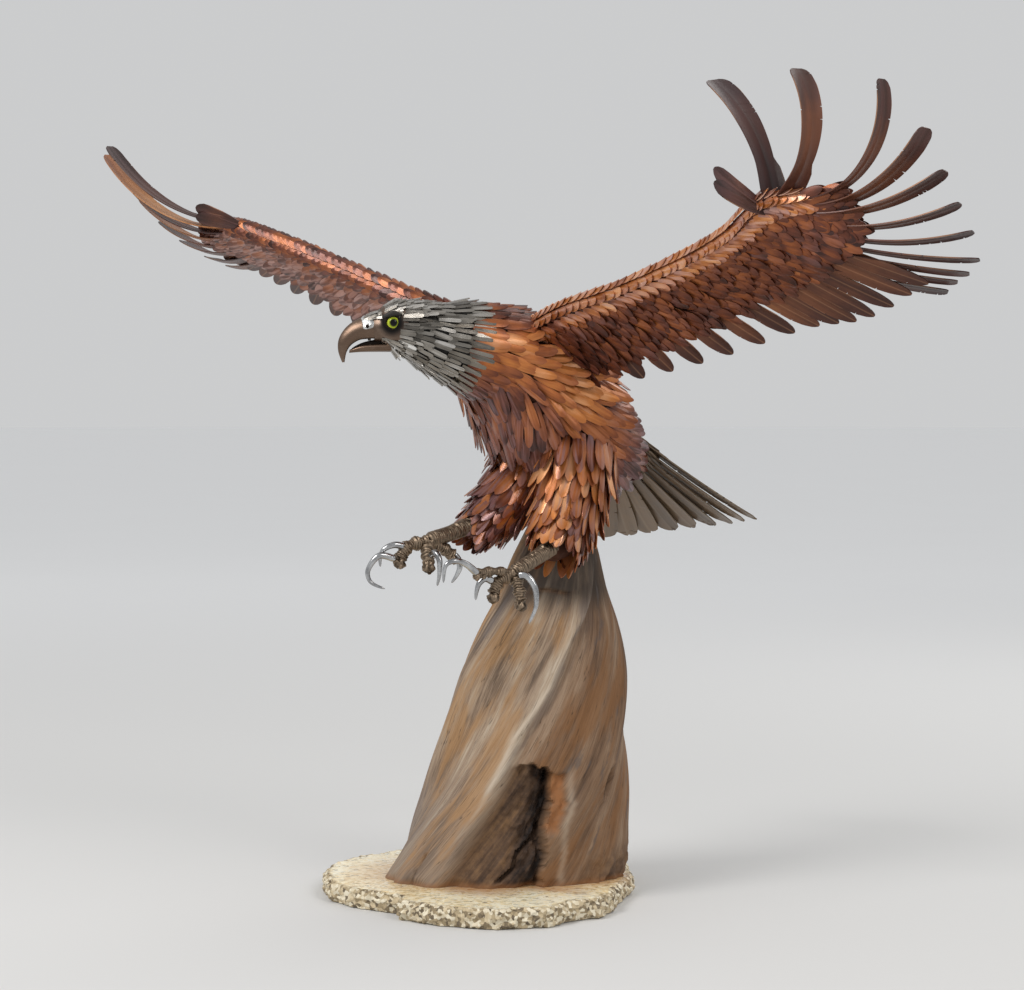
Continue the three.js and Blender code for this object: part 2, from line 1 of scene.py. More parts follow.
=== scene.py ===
"""Dresses the scrap metal eagle: separate sheet metal feathers, forged legs, driftwood and granite.

Every size that a class holds is in millimetres, as a maker would write it, and in the frame of the
solids: +Z up, the eagle facing -Y, its left wing on +X, the origin under the middle of the slab.
"""

from __future__ import annotations

import logging
import math
import random
from dataclasses import dataclass
from enum import Enum
from typing import Callable, Sequence

import bpy
import numpy as np
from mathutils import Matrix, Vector, noise

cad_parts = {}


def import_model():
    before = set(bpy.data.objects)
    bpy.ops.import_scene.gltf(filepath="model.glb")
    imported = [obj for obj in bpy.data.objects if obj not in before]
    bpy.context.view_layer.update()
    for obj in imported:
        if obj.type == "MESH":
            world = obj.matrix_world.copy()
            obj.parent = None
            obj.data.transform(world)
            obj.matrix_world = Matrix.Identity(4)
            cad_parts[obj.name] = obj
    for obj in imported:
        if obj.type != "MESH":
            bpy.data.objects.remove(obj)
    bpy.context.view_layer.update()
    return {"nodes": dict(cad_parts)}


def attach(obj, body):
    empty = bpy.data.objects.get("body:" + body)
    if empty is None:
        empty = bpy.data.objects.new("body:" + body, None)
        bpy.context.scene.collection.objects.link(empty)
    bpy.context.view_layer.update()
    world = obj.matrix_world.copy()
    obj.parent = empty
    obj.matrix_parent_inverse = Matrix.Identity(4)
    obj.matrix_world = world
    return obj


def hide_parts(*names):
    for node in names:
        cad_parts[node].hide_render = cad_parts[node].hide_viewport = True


LOG = logging.getLogger("eagle")
MM = 0.001
UP = np.array((0.0, 0.0, 1.0))
Colour = tuple[float, float, float]
Row = tuple[float, ...]
Surface = Callable[[float, float], np.ndarray]
FACING = 38.0


class Slot(Enum):
    """The record's material slots."""

    GRANITE = "granite"
    DRIFTWOOD = "driftwood"
    COPPER = "copper"
    DARK_COPPER = "dark_copper"
    GREY_STEEL = "grey_steel"
    BEAK = "beak_metal"
    EYE = "eye_glass"
    BRONZE = "bronze_weld"
    POLISHED = "polished_steel"
    TAIL = "tail_metal"


# ------------------------------------------------------------------ vectors and stations


def unit(vector: np.ndarray) -> np.ndarray:
    """The vector at length one."""
    return vector / max(float(np.linalg.norm(vector)), 1e-12)


def turned(vector: np.ndarray, axis: np.ndarray, degrees: float) -> np.ndarray:
    """The vector turned about an axis."""
    c, s = math.cos(math.radians(degrees)), math.sin(math.radians(degrees))
    return vector * c + np.cross(axis, vector) * s + axis * float(axis @ vector) * (1 - c)


def heading(side: int, rake: float, rise: float) -> np.ndarray:
    """A unit vector by its rake back from straight outwards and its rise, both in degrees.

    Args:
        side: 1 for the left wing's side, -1 for the right's.
        rake: Degrees back from straight outwards.
        rise: Degrees up.

    Returns:
        The direction.
    """
    flat = math.cos(math.radians(rise))
    return np.array((
        side * math.cos(math.radians(rake)) * flat,
        math.sin(math.radians(rake)) * flat,
        math.sin(math.radians(rise)),
    ))


def smooth(value: np.ndarray | float, low: float, high: float) -> np.ndarray | float:
    """Runs smoothly from 0 at low to 1 at high."""
    f = np.clip((value - low) / (high - low), 0.0, 1.0)
    return f * f * (3 - 2 * f)


def rising(value: float, low: float, high: float) -> float:
    """A number that runs smoothly from 0 at low to 1 at high."""
    return float(smooth(value, low, high))


def falling(value: float, low: float, high: float) -> float:
    """A number that runs smoothly from 1 at low to 0 at high."""
    return float(1 - smooth(value, low, high))


class Stations:
    """Rows of sizes along a form, read smoothly between the rows."""

    def __init__(self, rows: Sequence[Row]) -> None:
        """Keeps the rows as an array."""
        self.rows = np.array(rows, dtype=float)
        self.known: dict[float, np.ndarray] = {}

    def at(self, t: float) -> np.ndarray:
        """The sizes at a share of the way along.

        Args:
            t: From 0 at the first row to 1 at the last.

        Returns:
            One number for each column.
        """
        if t not in self.known:
            count = len(self.rows)
            place = min(max(t, 0.0), 1.0) * (count - 1)
            index = min(int(place), count - 2)
            f = place - index
            a, b, c, d = (self.rows[min(max(index + k, 0), count - 1)] for k in (-1, 0, 1, 2))
            cubic = 2 * a - 5 * b + 4 * c - d + f * (3 * (b - c) + d - a)
            self.known[t] = b + 0.5 * f * (c - a + f * cubic)
        return self.known[t]


@dataclass
class LimbFrame:
    """Where a limb is at one station, in metres."""

    centre: np.ndarray
    tangent: np.ndarray
    sideways: np.ndarray
    upwards: np.ndarray
    across: float
    deep: float


class Limb:
    """A tapering form of elliptic sections: x, y, z, half width and half depth at each station."""

    def __init__(self, rows: Sequence[Row]) -> None:
        """Keeps the stations."""
        self.stations = Stations(rows)
        self.known: dict[float, LimbFrame] = {}

    def frame(self, t: float) -> LimbFrame:
        """The section at a share of the limb's length."""
        if t in self.known:
            return self.known[t]
        here = self.stations.at(t) * MM
        ahead, behind = self.stations.at(t + 0.02), self.stations.at(t - 0.02)
        tangent = unit((ahead - behind)[:3])
        sideways = unit(np.cross(UP, tangent))
        upwards = np.cross(tangent, sideways)
        self.known[t] = LimbFrame(here[:3], tangent, sideways, upwards, here[3], here[4])
        return self.known[t]

    def skin(self, t: float, angle: float, proud: float = 0.0) -> np.ndarray:
        """A point on the limb's surface.

        Args:
            t: Share of the limb's length.
            angle: Radians round the section, 0 towards the bird's right and a quarter turn up.
            proud: Metres outside the surface.

        Returns:
            The point, in metres.
        """
        f = self.frame(t)
        out_x, out_y = (f.across + proud) * math.cos(angle), (f.deep + proud) * math.sin(angle)
        return f.centre + f.sideways * out_x + f.upwards * out_y

    def axes(self, t: float, angle: float) -> tuple[np.ndarray, np.ndarray, np.ndarray]:
        """The surface's outward normal, its run along the limb and its climb towards the back.

        Args:
            t: Share of the limb's length.
            angle: Radians round the section.

        Returns:
            Three unit vectors.
        """
        f = self.frame(t)
        normal = f.sideways * math.cos(angle) / f.across + f.upwards * math.sin(angle) / f.deep
        run = self.skin(min(t + 0.03, 1.0), angle) - self.skin(max(t - 0.03, 0.0), angle)
        normal = unit(normal - run * float(normal @ run) / max(float(run @ run), 1e-12))
        climb = np.cross(normal, unit(run)) * (1 if math.cos(angle) > 0 else -1)
        return normal, unit(run), climb * (1 if float(climb @ f.upwards) > 0 else -1)

    def girth(self, t: float) -> float:
        """About how far it is round the section, in metres."""
        f = self.frame(t)
        if f.across <= 0:
            return 0.0
        root = math.sqrt((3 * f.across + f.deep) * (f.across + 3 * f.deep))
        return math.pi * (3 * (f.across + f.deep) - root)

    def length(self) -> float:
        """How long the limb's centre line is, in metres."""
        points = [self.frame(i / 20).centre for i in range(21)]
        return sum(float(np.linalg.norm(b - a)) for a, b in zip(points, points[1:]))


# ------------------------------------------------------------------ the bench


class Bench:
    """Where pieces are cut, wrapped and finished with Blender's own tools."""

    @staticmethod
    def clear() -> None:
        """Leaves nothing selected."""
        if bpy.context.object and bpy.context.object.mode != "OBJECT":
            bpy.ops.object.mode_set(mode="OBJECT")
        bpy.ops.object.select_all(action="DESELECT")

    @staticmethod
    def pick(piece: bpy.types.Object) -> None:
        """Leaves one piece selected and active."""
        Bench.clear()
        piece.select_set(True)
        bpy.context.view_layer.objects.active = piece

    @staticmethod
    def mark(mesh: bpy.types.Mesh, name: str, values: np.ndarray) -> None:
        """Gives every point of a mesh a value that its finish reads."""
        layer = mesh.attributes.new(name, "FLOAT", "POINT")
        layer.data.foreach_set("value", np.asarray(values, dtype=np.float32))

    @staticmethod
    def points(piece: bpy.types.Object) -> np.ndarray:
        """The piece's vertices as an array."""
        flat = np.empty(len(piece.data.vertices) * 3)
        piece.data.vertices.foreach_get("co", flat)
        return flat.reshape(-1, 3)

    @staticmethod
    def place(piece: bpy.types.Object, points: np.ndarray) -> None:
        """Puts the piece's vertices at the given points."""
        piece.data.vertices.foreach_set("co", np.ascontiguousarray(points, dtype=np.float32).ravel())
        piece.data.update()

    @staticmethod
    def tidy(piece: bpy.types.Object, merge: float = 1e-6) -> None:
        """Merges doubled vertices and turns every face outwards.

        Args:
            piece: The piece, which becomes the active one.
            merge: How close two vertices are merged, in metres.
        """
        Bench.pick(piece)
        bpy.ops.object.mode_set(mode="EDIT")
        bpy.ops.mesh.select_all(action="SELECT")
        bpy.ops.mesh.remove_doubles(threshold=merge)
        bpy.ops.mesh.dissolve_degenerate(threshold=merge)
        bpy.ops.mesh.normals_make_consistent(inside=False)
        bpy.ops.object.mode_set(mode="OBJECT")

    @staticmethod
    def soften(piece: bpy.types.Object, degrees: float = 40.0) -> None:
        """Shades the piece smooth up to an angle between its faces."""
        Bench.pick(piece)
        bpy.ops.object.shade_smooth_by_angle(angle=math.radians(degrees))

    @staticmethod
    def wrapped(
        name: str,
        around: int,
        along: int,
        where: Surface,
        marks: dict[str, Callable[[float, float], float]] | None = None,
        degrees: float = 60.0,
    ) -> bpy.types.Object:
        """A closed form rolled from a sheet of squares, its seam and both ends closed.

        Args:
            name: The piece's name.
            around: How many faces round it.
            along: How many faces along it.
            where: Gives the point for an angle in radians and a share of the length.
            marks: Attributes by name, from the same angle and share.
            degrees: Edges sharper than this stay sharp.

        Returns:
            The piece, merged, smooth and with its faces outwards.
        """
        Bench.clear()
        bpy.ops.mesh.primitive_grid_add(x_subdivisions=around, y_subdivisions=along + 2, size=2.0)
        piece = bpy.context.object
        piece.name = name
        piece.data.name = name
        flat = Bench.points(piece)
        columns = np.rint((flat[:, 0] + 1) / 2 * around).astype(int)
        rows = np.rint((flat[:, 1] + 1) / 2 * (along + 2)).astype(int)
        spots = {}
        for row in range(along + 1):
            for column in range(around):
                spots[column, row] = where(2 * math.pi * column / around, row / along)
        ends = [np.mean([spots[c, r] for c in range(around)], axis=0) for r in (0, along)]
        placed = np.empty_like(flat)
        shares = np.clip((rows - 1) / along, 0.0, 1.0)
        for i, (column, row) in enumerate(zip(columns, rows)):
            if row in (0, along + 2):
                placed[i] = ends[0 if row == 0 else 1]
            else:
                placed[i] = spots[column % around, row - 1]
        Bench.place(piece, placed)
        for mark, reading in (marks or {}).items():
            values = [reading(2 * math.pi * (c % around) / around, float(t)) for c, t in zip(columns, shares)]
            Bench.mark(piece.data, mark, np.array(values))
        Bench.tidy(piece)
        Bench.soften(piece, degrees)
        return piece

    @staticmethod
    def joined(name: str, parts: list[bpy.types.Object]) -> bpy.types.Object:
        """Joins several meshes into one piece.

        Args:
            name: The new piece's name.
            parts: The meshes, the first of which takes in the others.

        Returns:
            The joined piece.
        """
        Bench.clear()
        for part in parts:
            part.select_set(True)
        bpy.context.view_layer.objects.active = parts[0]
        if len(parts) > 1:
            bpy.ops.object.join()
        bpy.ops.object.transform_apply(location=True, rotation=True, scale=True)
        parts[0].name = name
        parts[0].data.name = name
        return parts[0]

    @staticmethod
    def blob(centre: np.ndarray, size: Sequence[float], detail: int = 2) -> bpy.types.Object:
        """A lump of metal.

        Args:
            centre: Its middle, in metres.
            size: Its half sizes along the axes, in metres.
            detail: How finely it is divided.

        Returns:
            The lump, with its place in its mesh.
        """
        Bench.clear()
        bpy.ops.mesh.primitive_ico_sphere_add(subdivisions=detail, radius=1.0, location=tuple(centre))
        lump = bpy.context.object
        lump.scale = tuple(size)
        bpy.ops.object.transform_apply(location=True, rotation=True, scale=True)
        return lump


# ------------------------------------------------------------------ feather blanks


@dataclass
class Blank:
    """A feather cut from sheet: each point is across (-0.5 to 0.5), along (0 to 1) and through."""

    points: np.ndarray
    faces: np.ndarray


@dataclass(frozen=True)
class Outline:
    """A feather's half widths (1 is full) at shares of its length, its slits and how torn its end is."""

    front: tuple[tuple[float, float], ...]
    back: tuple[tuple[float, float], ...] = ()
    nicks: int = 0
    nick_from: float = 0.5
    nick_depth: float = 0.5
    nick_width: float = 0.006
    frayed: float = 0.0

    def rows(self, count: int, draw: random.Random) -> tuple[np.ndarray, np.ndarray, np.ndarray]:
        """Where the rows of the blank are, finer towards the tip and at each narrow cut.

        Args:
            count: Faces along, before the cuts.
            draw: Where the cuts fall is drawn from this.

        Returns:
            Shares of the length, and the front and back edges' half widths there.
        """
        along = 1 - (1 - np.linspace(0, 1, count + 1)) ** 1.5
        cuts = []
        for _ in range(self.nicks):
            place = round(draw.uniform(self.nick_from, 0.97), 4)
            cuts.append((place, draw.random() < 0.7, draw.uniform(0.4, 1.0) * self.nick_depth))
            along = np.append(along, (place - self.nick_width, place, place + 0.4 * self.nick_width))
        along = np.unique(np.round(along, 4))
        front = np.interp(along, *zip(*self.front))
        back = np.interp(along, *zip(*(self.back or self.front)))
        for place, on_back, depth in cuts:
            edge = back if on_back else front
            edge[int(np.argmin(abs(along - place)))] *= 1 - depth
        return along, front, back


TONGUE = Outline(((0, 0.55), (0.2, 0.85), (0.45, 1.0), (0.75, 0.98), (0.88, 0.84), (0.96, 0.52), (1, 0.16)))
LEAF = Outline(((0, 0.5), (0.25, 0.86), (0.55, 1.0), (0.74, 0.9), (0.88, 0.64), (0.96, 0.36), (1, 0.1)))
STRIP = Outline(((0, 0.8), (0.4, 1.0), (0.9, 0.98), (0.97, 0.9), (1, 0.6)))
SCALE = Outline(((0, 0.6), (0.25, 0.95), (0.55, 1.0), (0.8, 0.85), (0.93, 0.55), (1, 0.16)))
REMEX = Outline(
    ((0, 0.42), (0.2, 0.72), (0.4, 0.95), (0.74, 1.0), (0.87, 0.84), (0.95, 0.56), (0.985, 0.32), (1, 0.1)),
    nicks=2,
    nick_depth=0.25,
)
FINGER = Outline(
    ((0, 0.62), (0.12, 0.86), (0.3, 0.76), (0.6, 0.96), (0.86, 1.0), (0.95, 0.94), (0.985, 0.76), (1, 0.42)),
    (
        (0, 0.7), (0.14, 1.12), (0.25, 0.98), (0.31, 0.72), (0.6, 0.92), (0.86, 1.0), (0.95, 0.92),
        (0.985, 0.72), (1, 0.42),
    ),
    nicks=4,
    nick_from=0.55,
    nick_depth=0.4,
)
TAIL_VANE = Outline(
    ((0, 0.4), (0.2, 0.66), (0.45, 0.92), (0.7, 1.0), (0.88, 0.96), (0.95, 0.78), (0.985, 0.5), (1, 0.2)),
    nicks=9,
    nick_from=0.35,
    nick_depth=0.35,
    nick_width=0.012,
    frayed=0.035,
)


class Cutter:
    """Cuts blanks from squared sheet with the grid and solidify tools."""

    COLUMNS = (-1.0, -0.62, -0.22, -0.08, 0.08, 0.22, 0.62, 1.0)

    @staticmethod
    def cut(outline: Outline, columns: int, rows: int, draw: random.Random) -> Blank:
        """Cuts one blank.

        Args:
            outline: The feather's outline.
            columns: Faces across; seven gives the blank a place for its quill.
            rows: Faces along.
            draw: Where the cuts fall is drawn from this.

        Returns:
            The blank, one unit wide, long and thick.
        """
        along, front, back = outline.rows(rows, draw)
        rows = len(along) - 1
        Bench.clear()
        bpy.ops.mesh.primitive_grid_add(x_subdivisions=columns, y_subdivisions=rows, size=2.0)
        sheet = bpy.context.object
        flat = Bench.points(sheet)
        column = np.rint((flat[:, 0] + 1) / 2 * columns).astype(int)
        row = np.rint((flat[:, 1] + 1) / 2 * rows).astype(int)
        spread = np.array(Cutter.COLUMNS) if columns == 7 else np.linspace(-1, 1, columns + 1)
        across = spread[column]
        half = np.where(across < 0, front[row], back[row])
        torn = np.zeros(columns + 1)
        if outline.frayed:
            torn = np.array([draw.uniform(-1.0, 0.4) for _ in range(columns + 1)])
        reach = along[row] + torn[column] * outline.frayed * smooth(along[row], 0.8, 1.0)
        Bench.place(sheet, np.stack((0.5 * across * half, reach, np.zeros(len(flat))), axis=1))
        thickness = sheet.modifiers.new("thickness", "SOLIDIFY")
        thickness.thickness = 1.0
        thickness.offset = 0.0
        bpy.ops.object.modifier_apply(modifier=thickness.name)
        blank = Blank(Bench.points(sheet).copy(), np.array([tuple(p.vertices) for p in sheet.data.polygons]))
        bpy.data.objects.remove(sheet, do_unlink=True)
        return blank


@dataclass
class Tone:
    """How one feather is coloured: from dark (0) to bright (1), and how much bloom it has: the metal's own
    heat colour on most finishes, a painted pink highlight on the bright copper.
    """

    value: float
    bloom_and_sheen: float = 0.0

    @staticmethod
    def held(value: float, bloom_and_sheen: float, least: float = 0.02) -> "Tone":
        """A tone held in its range."""
        return Tone(min(max(value, least), 1.0), min(max(bloom_and_sheen, 0.0), 1.0))


class Bed:
    """Feathers laid one after another and welded into one piece."""

    def __init__(self) -> None:
        """Starts with nothing laid."""
        self.points: list[np.ndarray] = []
        self.faces: list[np.ndarray] = []
        self.marks: dict[str, list[np.ndarray]] = {"tone": [], "bloom_and_sheen": [], "along": [], "across": []}
        self.count = 0

    def _take(self, blank: Blank, points: np.ndarray, tone: Tone) -> None:
        """Adds one shaped copy of a blank."""
        size = len(blank.points)
        self.points.append(points)
        self.faces.append(blank.faces + self.count)
        self.marks["tone"].append(np.full(size, tone.value))
        self.marks["bloom_and_sheen"].append(np.full(size, tone.bloom_and_sheen))
        self.marks["along"].append(blank.points[:, 1])
        self.marks["across"].append(blank.points[:, 0] * 2)
        self.count += size

    def lay(
        self,
        blank: Blank,
        root: np.ndarray,
        run: np.ndarray,
        up: np.ndarray,
        length: float,
        width: float,
        tone: Tone,
        lift: float = 0.2,
        curl: float = 0.1,
        cup: float = 0.12,
        sheet: float = 1.1,
    ) -> None:
        """Lays a small feather on a surface.

        Args:
            blank: The cut blank.
            root: Where it starts, in metres.
            run: The way it points.
            up: The surface's outward normal.
            length: Its length, in millimetres.
            width: Its width, in millimetres.
            tone: Its colour.
            lift: How steeply it leaves the surface.
            curl: How far its tip bends back down, as a share of its length.
            cup: How far its middle stands over its edges, as a share of its width.
            sheet: Its thickness, in millimetres.
        """
        run = unit(run)
        side = unit(np.cross(run, up))
        up = np.cross(side, run)
        across, along, through = blank.points.T
        slope = lift - 2 * curl * along
        face = up[None, :] - run[None, :] * slope[:, None]
        face /= np.linalg.norm(face, axis=1)[:, None]
        rise = lift * along - curl * along ** 2
        crown = cup * width * (1 - (2 * across) ** 2) + sheet * through
        placed = root + MM * (
            length * (along[:, None] * run + rise[:, None] * up)
            + width * across[:, None] * side
            + crown[:, None] * face
        )
        self._take(blank, placed, tone)

    def fly(self, blank: Blank, quill: "Quill", tone: Tone) -> None:
        """Lays a flight feather along its own curved quill."""
        across, along, through = blank.points.T
        spine, level, outward = quill.line(along)
        shaft = np.where(np.abs(across * 2) < 0.1, quill.shaft * (1.1 - along), 0.0) * np.sign(through)
        crown = quill.sheet * through + shaft + quill.cup * quill.width * (0.5 - 4 * across ** 2)
        self._take(
            blank,
            spine + MM * (quill.width * across[:, None] * level + crown[:, None] * outward),
            tone,
        )

    def build(self, name: str, degrees: float = 35.0) -> bpy.types.Object:
        """Welds what has been laid into one piece.

        Args:
            name: The piece's name.
            degrees: Edges sharper than this stay sharp.

        Returns:
            The piece.
        """
        mesh = bpy.data.meshes.new(name)
        mesh.from_pydata(np.concatenate(self.points).tolist(), [], np.concatenate(self.faces).tolist())
        for mark, parts in self.marks.items():
            Bench.mark(mesh, mark, np.concatenate(parts))
        piece = bpy.data.objects.new(name, mesh)
        bpy.context.collection.objects.link(piece)
        Bench.pick(piece)
        bpy.ops.object.mode_set(mode="EDIT")
        bpy.ops.mesh.select_all(action="SELECT")
        bpy.ops.mesh.normals_make_consistent(inside=False)
        bpy.ops.object.mode_set(mode="OBJECT")
        Bench.soften(piece, degrees)
        return piece


@dataclass
class Quill:
    """A flight feather's line: it leaves its root by a rake and a rise, and curls evenly upwards."""

    side: int
    root: np.ndarray
    rake: float
    rise: float
    curl: float
    length: float
    width: float
    roll: float = 0.0
    sheet: float = 1.6
    shaft: float = 1.0
    cup: float = 0.06

    def line(self, along: np.ndarray) -> tuple[np.ndarray, np.ndarray, np.ndarray]:
        """The quill at shares of its length.

        Args:
            along: Shares from 0 to 1.

        Returns:
            The points in metres, and the unit vectors across the blade and out of its face.
        """
        steps = 60
        points = [self.root * MM]
        for i in range(steps):
            way = heading(self.side, self.rake, self.rise + self.curl * (i + 0.5) / steps)
            points.append(points[-1] + way * self.length * MM / steps)
        spots = np.array(points)
        at = np.stack([np.interp(along, np.linspace(0, 1, steps + 1), spots[:, k]) for k in range(3)], axis=1)
        rake = math.radians(self.rake)
        flat = np.array((-self.side * math.sin(rake), math.cos(rake), 0.0))
        level, outward = np.empty_like(at), np.empty_like(at)
        for i, share in enumerate(along):
            tangent = heading(self.side, self.rake, self.rise + self.curl * share)
            level[i] = turned(flat, tangent, -self.roll * self.side)
            outward[i] = np.cross(tangent, level[i])
        return at, level, outward


# ------------------------------------------------------------------ finishes


class Signal:
    """A value in a shader that takes part in Python arithmetic."""

    def __init__(self, tree: "ShaderTree", socket: bpy.types.NodeSocket) -> None:
        """Wraps an output socket."""
        self.tree = tree
        self.socket = socket

    def maths(self, operation: str, *others: "Signal | float", clamp: bool = False) -> "Signal":
        """The result of a Math node whose first input is this value."""
        inputs = {i: value for i, value in enumerate((self, *others))}
        return self.tree.add("ShaderNodeMath", {"operation": operation, "use_clamp": clamp}, inputs)

    def __add__(self, other: "Signal | float") -> "Signal":
        """This plus another."""
        return self.maths("ADD", other)

    __radd__ = __add__

    def __mul__(self, other: "Signal | float") -> "Signal":
        """This times another."""
        return self.maths("MULTIPLY", other)

    __rmul__ = __mul__

    def __sub__(self, other: "Signal | float") -> "Signal":
        """This less another."""
        return self.maths("SUBTRACT", other)

    def __rsub__(self, other: "Signal | float") -> "Signal":
        """Another less this."""
        return (self * -1.0) + other

    def size(self) -> "Signal":
        """This without its sign."""
        return self.maths("ABSOLUTE")

    def clamped(self) -> "Signal":
        """This held between 0 and 1."""
        return self.maths("ADD", 0.0, clamp=True)

    def step(self, low: float, high: float) -> "Signal":
        """Runs smoothly from 0 at low to 1 at high."""
        inputs = {"Value": self, "From Min": low, "From Max": high}
        return self.tree.add("ShaderNodeMapRange", {"interpolation_type": "SMOOTHSTEP"}, inputs)


class ShaderTree:
    """The nodes of one material."""

    def __init__(self, name: str) -> None:
        """Starts an empty material with its output and its Principled shader."""
        self.material = bpy.data.materials.new(name)
        self.material.use_nodes = True
        self.nodes = self.material.node_tree.nodes
        self.links = self.material.node_tree.links
        self.nodes.clear()
        self.output = self.nodes.new("ShaderNodeOutputMaterial")
        self.shader = self.nodes.new("ShaderNodeBsdfPrincipled")
        self.links.new(self.shader.outputs[0], self.output.inputs["Surface"])

    def add(
        self,
        kind: str,
        settings: dict[str, object] | None = None,
        inputs: dict[str | int, object] | None = None,
        output: str | int = 0,
    ) -> Signal:
        """Adds a node.

        Args:
            kind: The node's type.
            settings: Its settings, such as an operation, or a ramp's stops.
            inputs: Values or signals for its sockets.
            output: Which of its sockets is given back.

        Returns:
            The chosen output.
        """
        node = self.nodes.new(kind)
        for key, value in (settings or {}).items():
            if key == "stops":
                self._set_stops(node.color_ramp, value)
            else:
                setattr(node, key, value)
        for key, value in (inputs or {}).items():
            if isinstance(value, Signal):
                self.links.new(value.socket, node.inputs[key])
            else:
                node.inputs[key].default_value = value
        return Signal(self, node.outputs[output])

    @staticmethod
    def _set_stops(ramp: bpy.types.ColorRamp, stops: Sequence[tuple[float, Colour]]) -> None:
        """Gives a colour ramp its stops."""
        while len(ramp.elements) < len(stops):
            ramp.elements.new(0.5)
        for element, (position, colour) in zip(ramp.elements, stops):
            element.position = position
            element.color = (*colour, 1.0)

    def mark(self, name: str) -> Signal:
        """One of the piece's own attributes."""
        return self.add("ShaderNodeAttribute", {"attribute_name": name}, output="Fac")

    def spot(self) -> Signal:
        """The place on the object."""
        return self.add("ShaderNodeTexCoord", output="Object")

    def stretched(self, vector: Signal, scale: Sequence[float]) -> Signal:
        """A vector scaled along each axis."""
        return self.add("ShaderNodeVectorMath", {"operation": "MULTIPLY"}, {0: vector, 1: tuple(scale)})

    def gather(self, x: Signal | float, y: Signal | float, z: Signal | float = 0.0) -> Signal:
        """A vector of three values."""
        return self.add("ShaderNodeCombineXYZ", inputs={0: x, 1: y, 2: z})

    def grain(self, vector: Signal, scale: float, detail: float = 4.0, rough: float = 0.55) -> Signal:
        """Fractal noise between about 0 and 1."""
        inputs = {"Vector": vector, "Scale": scale, "Detail": detail, "Roughness": rough}
        return self.add("ShaderNodeTexNoise", inputs=inputs)

    def cells(self, vector: Signal, scale: float) -> Signal:
        """The random colours of Voronoi cells."""
        return self.add("ShaderNodeTexVoronoi", inputs={"Vector": vector, "Scale": scale}, output="Color")

    def ramp(self, value: Signal, stops: Sequence[tuple[float, Colour]]) -> Signal:
        """A colour by a value."""
        return self.add("ShaderNodeValToRGB", {"stops": stops}, {"Fac": value})

    def blend(
        self, factor: Signal | float, first: Signal | Colour, second: Signal | Colour, how: str = "MIX"
    ) -> Signal:
        """Two colours mixed.

        Args:
            factor: 0 gives the first and 1 the second.
            first: A colour.
            second: A colour.
            how: The blend type.

        Returns:
            The mixed colour.
        """
        colours = [c if isinstance(c, Signal) else (*c, 1.0) for c in (first, second)]
        inputs = {0: factor, 6: colours[0], 7: colours[1]}
        return self.add("ShaderNodeMix", {"data_type": "RGBA", "blend_type": how}, inputs, 2)

    def finish(
        self,
        colour: Signal | Colour,
        rough: Signal | float,
        metal: Signal | float = 0.0,
        height: Signal | None = None,
        depth: float = 0.5,
        **constants: float,
    ) -> bpy.types.Material:
        """Sets the shader's sockets.

        Args:
            colour: The base colour.
            rough: The roughness.
            metal: How metallic it is.
            height: What the bump follows.
            depth: How deep the bump is, in millimetres.
            constants: Other sockets, with underscores for spaces.

        Returns:
            The material.
        """
        wanted: dict[str, object] = {"Base Color": colour, "Roughness": rough, "Metallic": metal}
        wanted.update({key.replace("_", " "): value for key, value in constants.items()})
        if height is not None:
            inputs = {"Height": height, "Distance": depth * MM, "Strength": 1.0}
            wanted["Normal"] = self.add("ShaderNodeBump", inputs=inputs, output="Normal")
        for key, value in wanted.items():
            socket = self.shader.inputs[key]
            if isinstance(value, Signal):
                self.links.new(value.socket, socket)
            else:
                socket.default_value = (*value, 1.0) if isinstance(value, tuple) else value
        return self.material


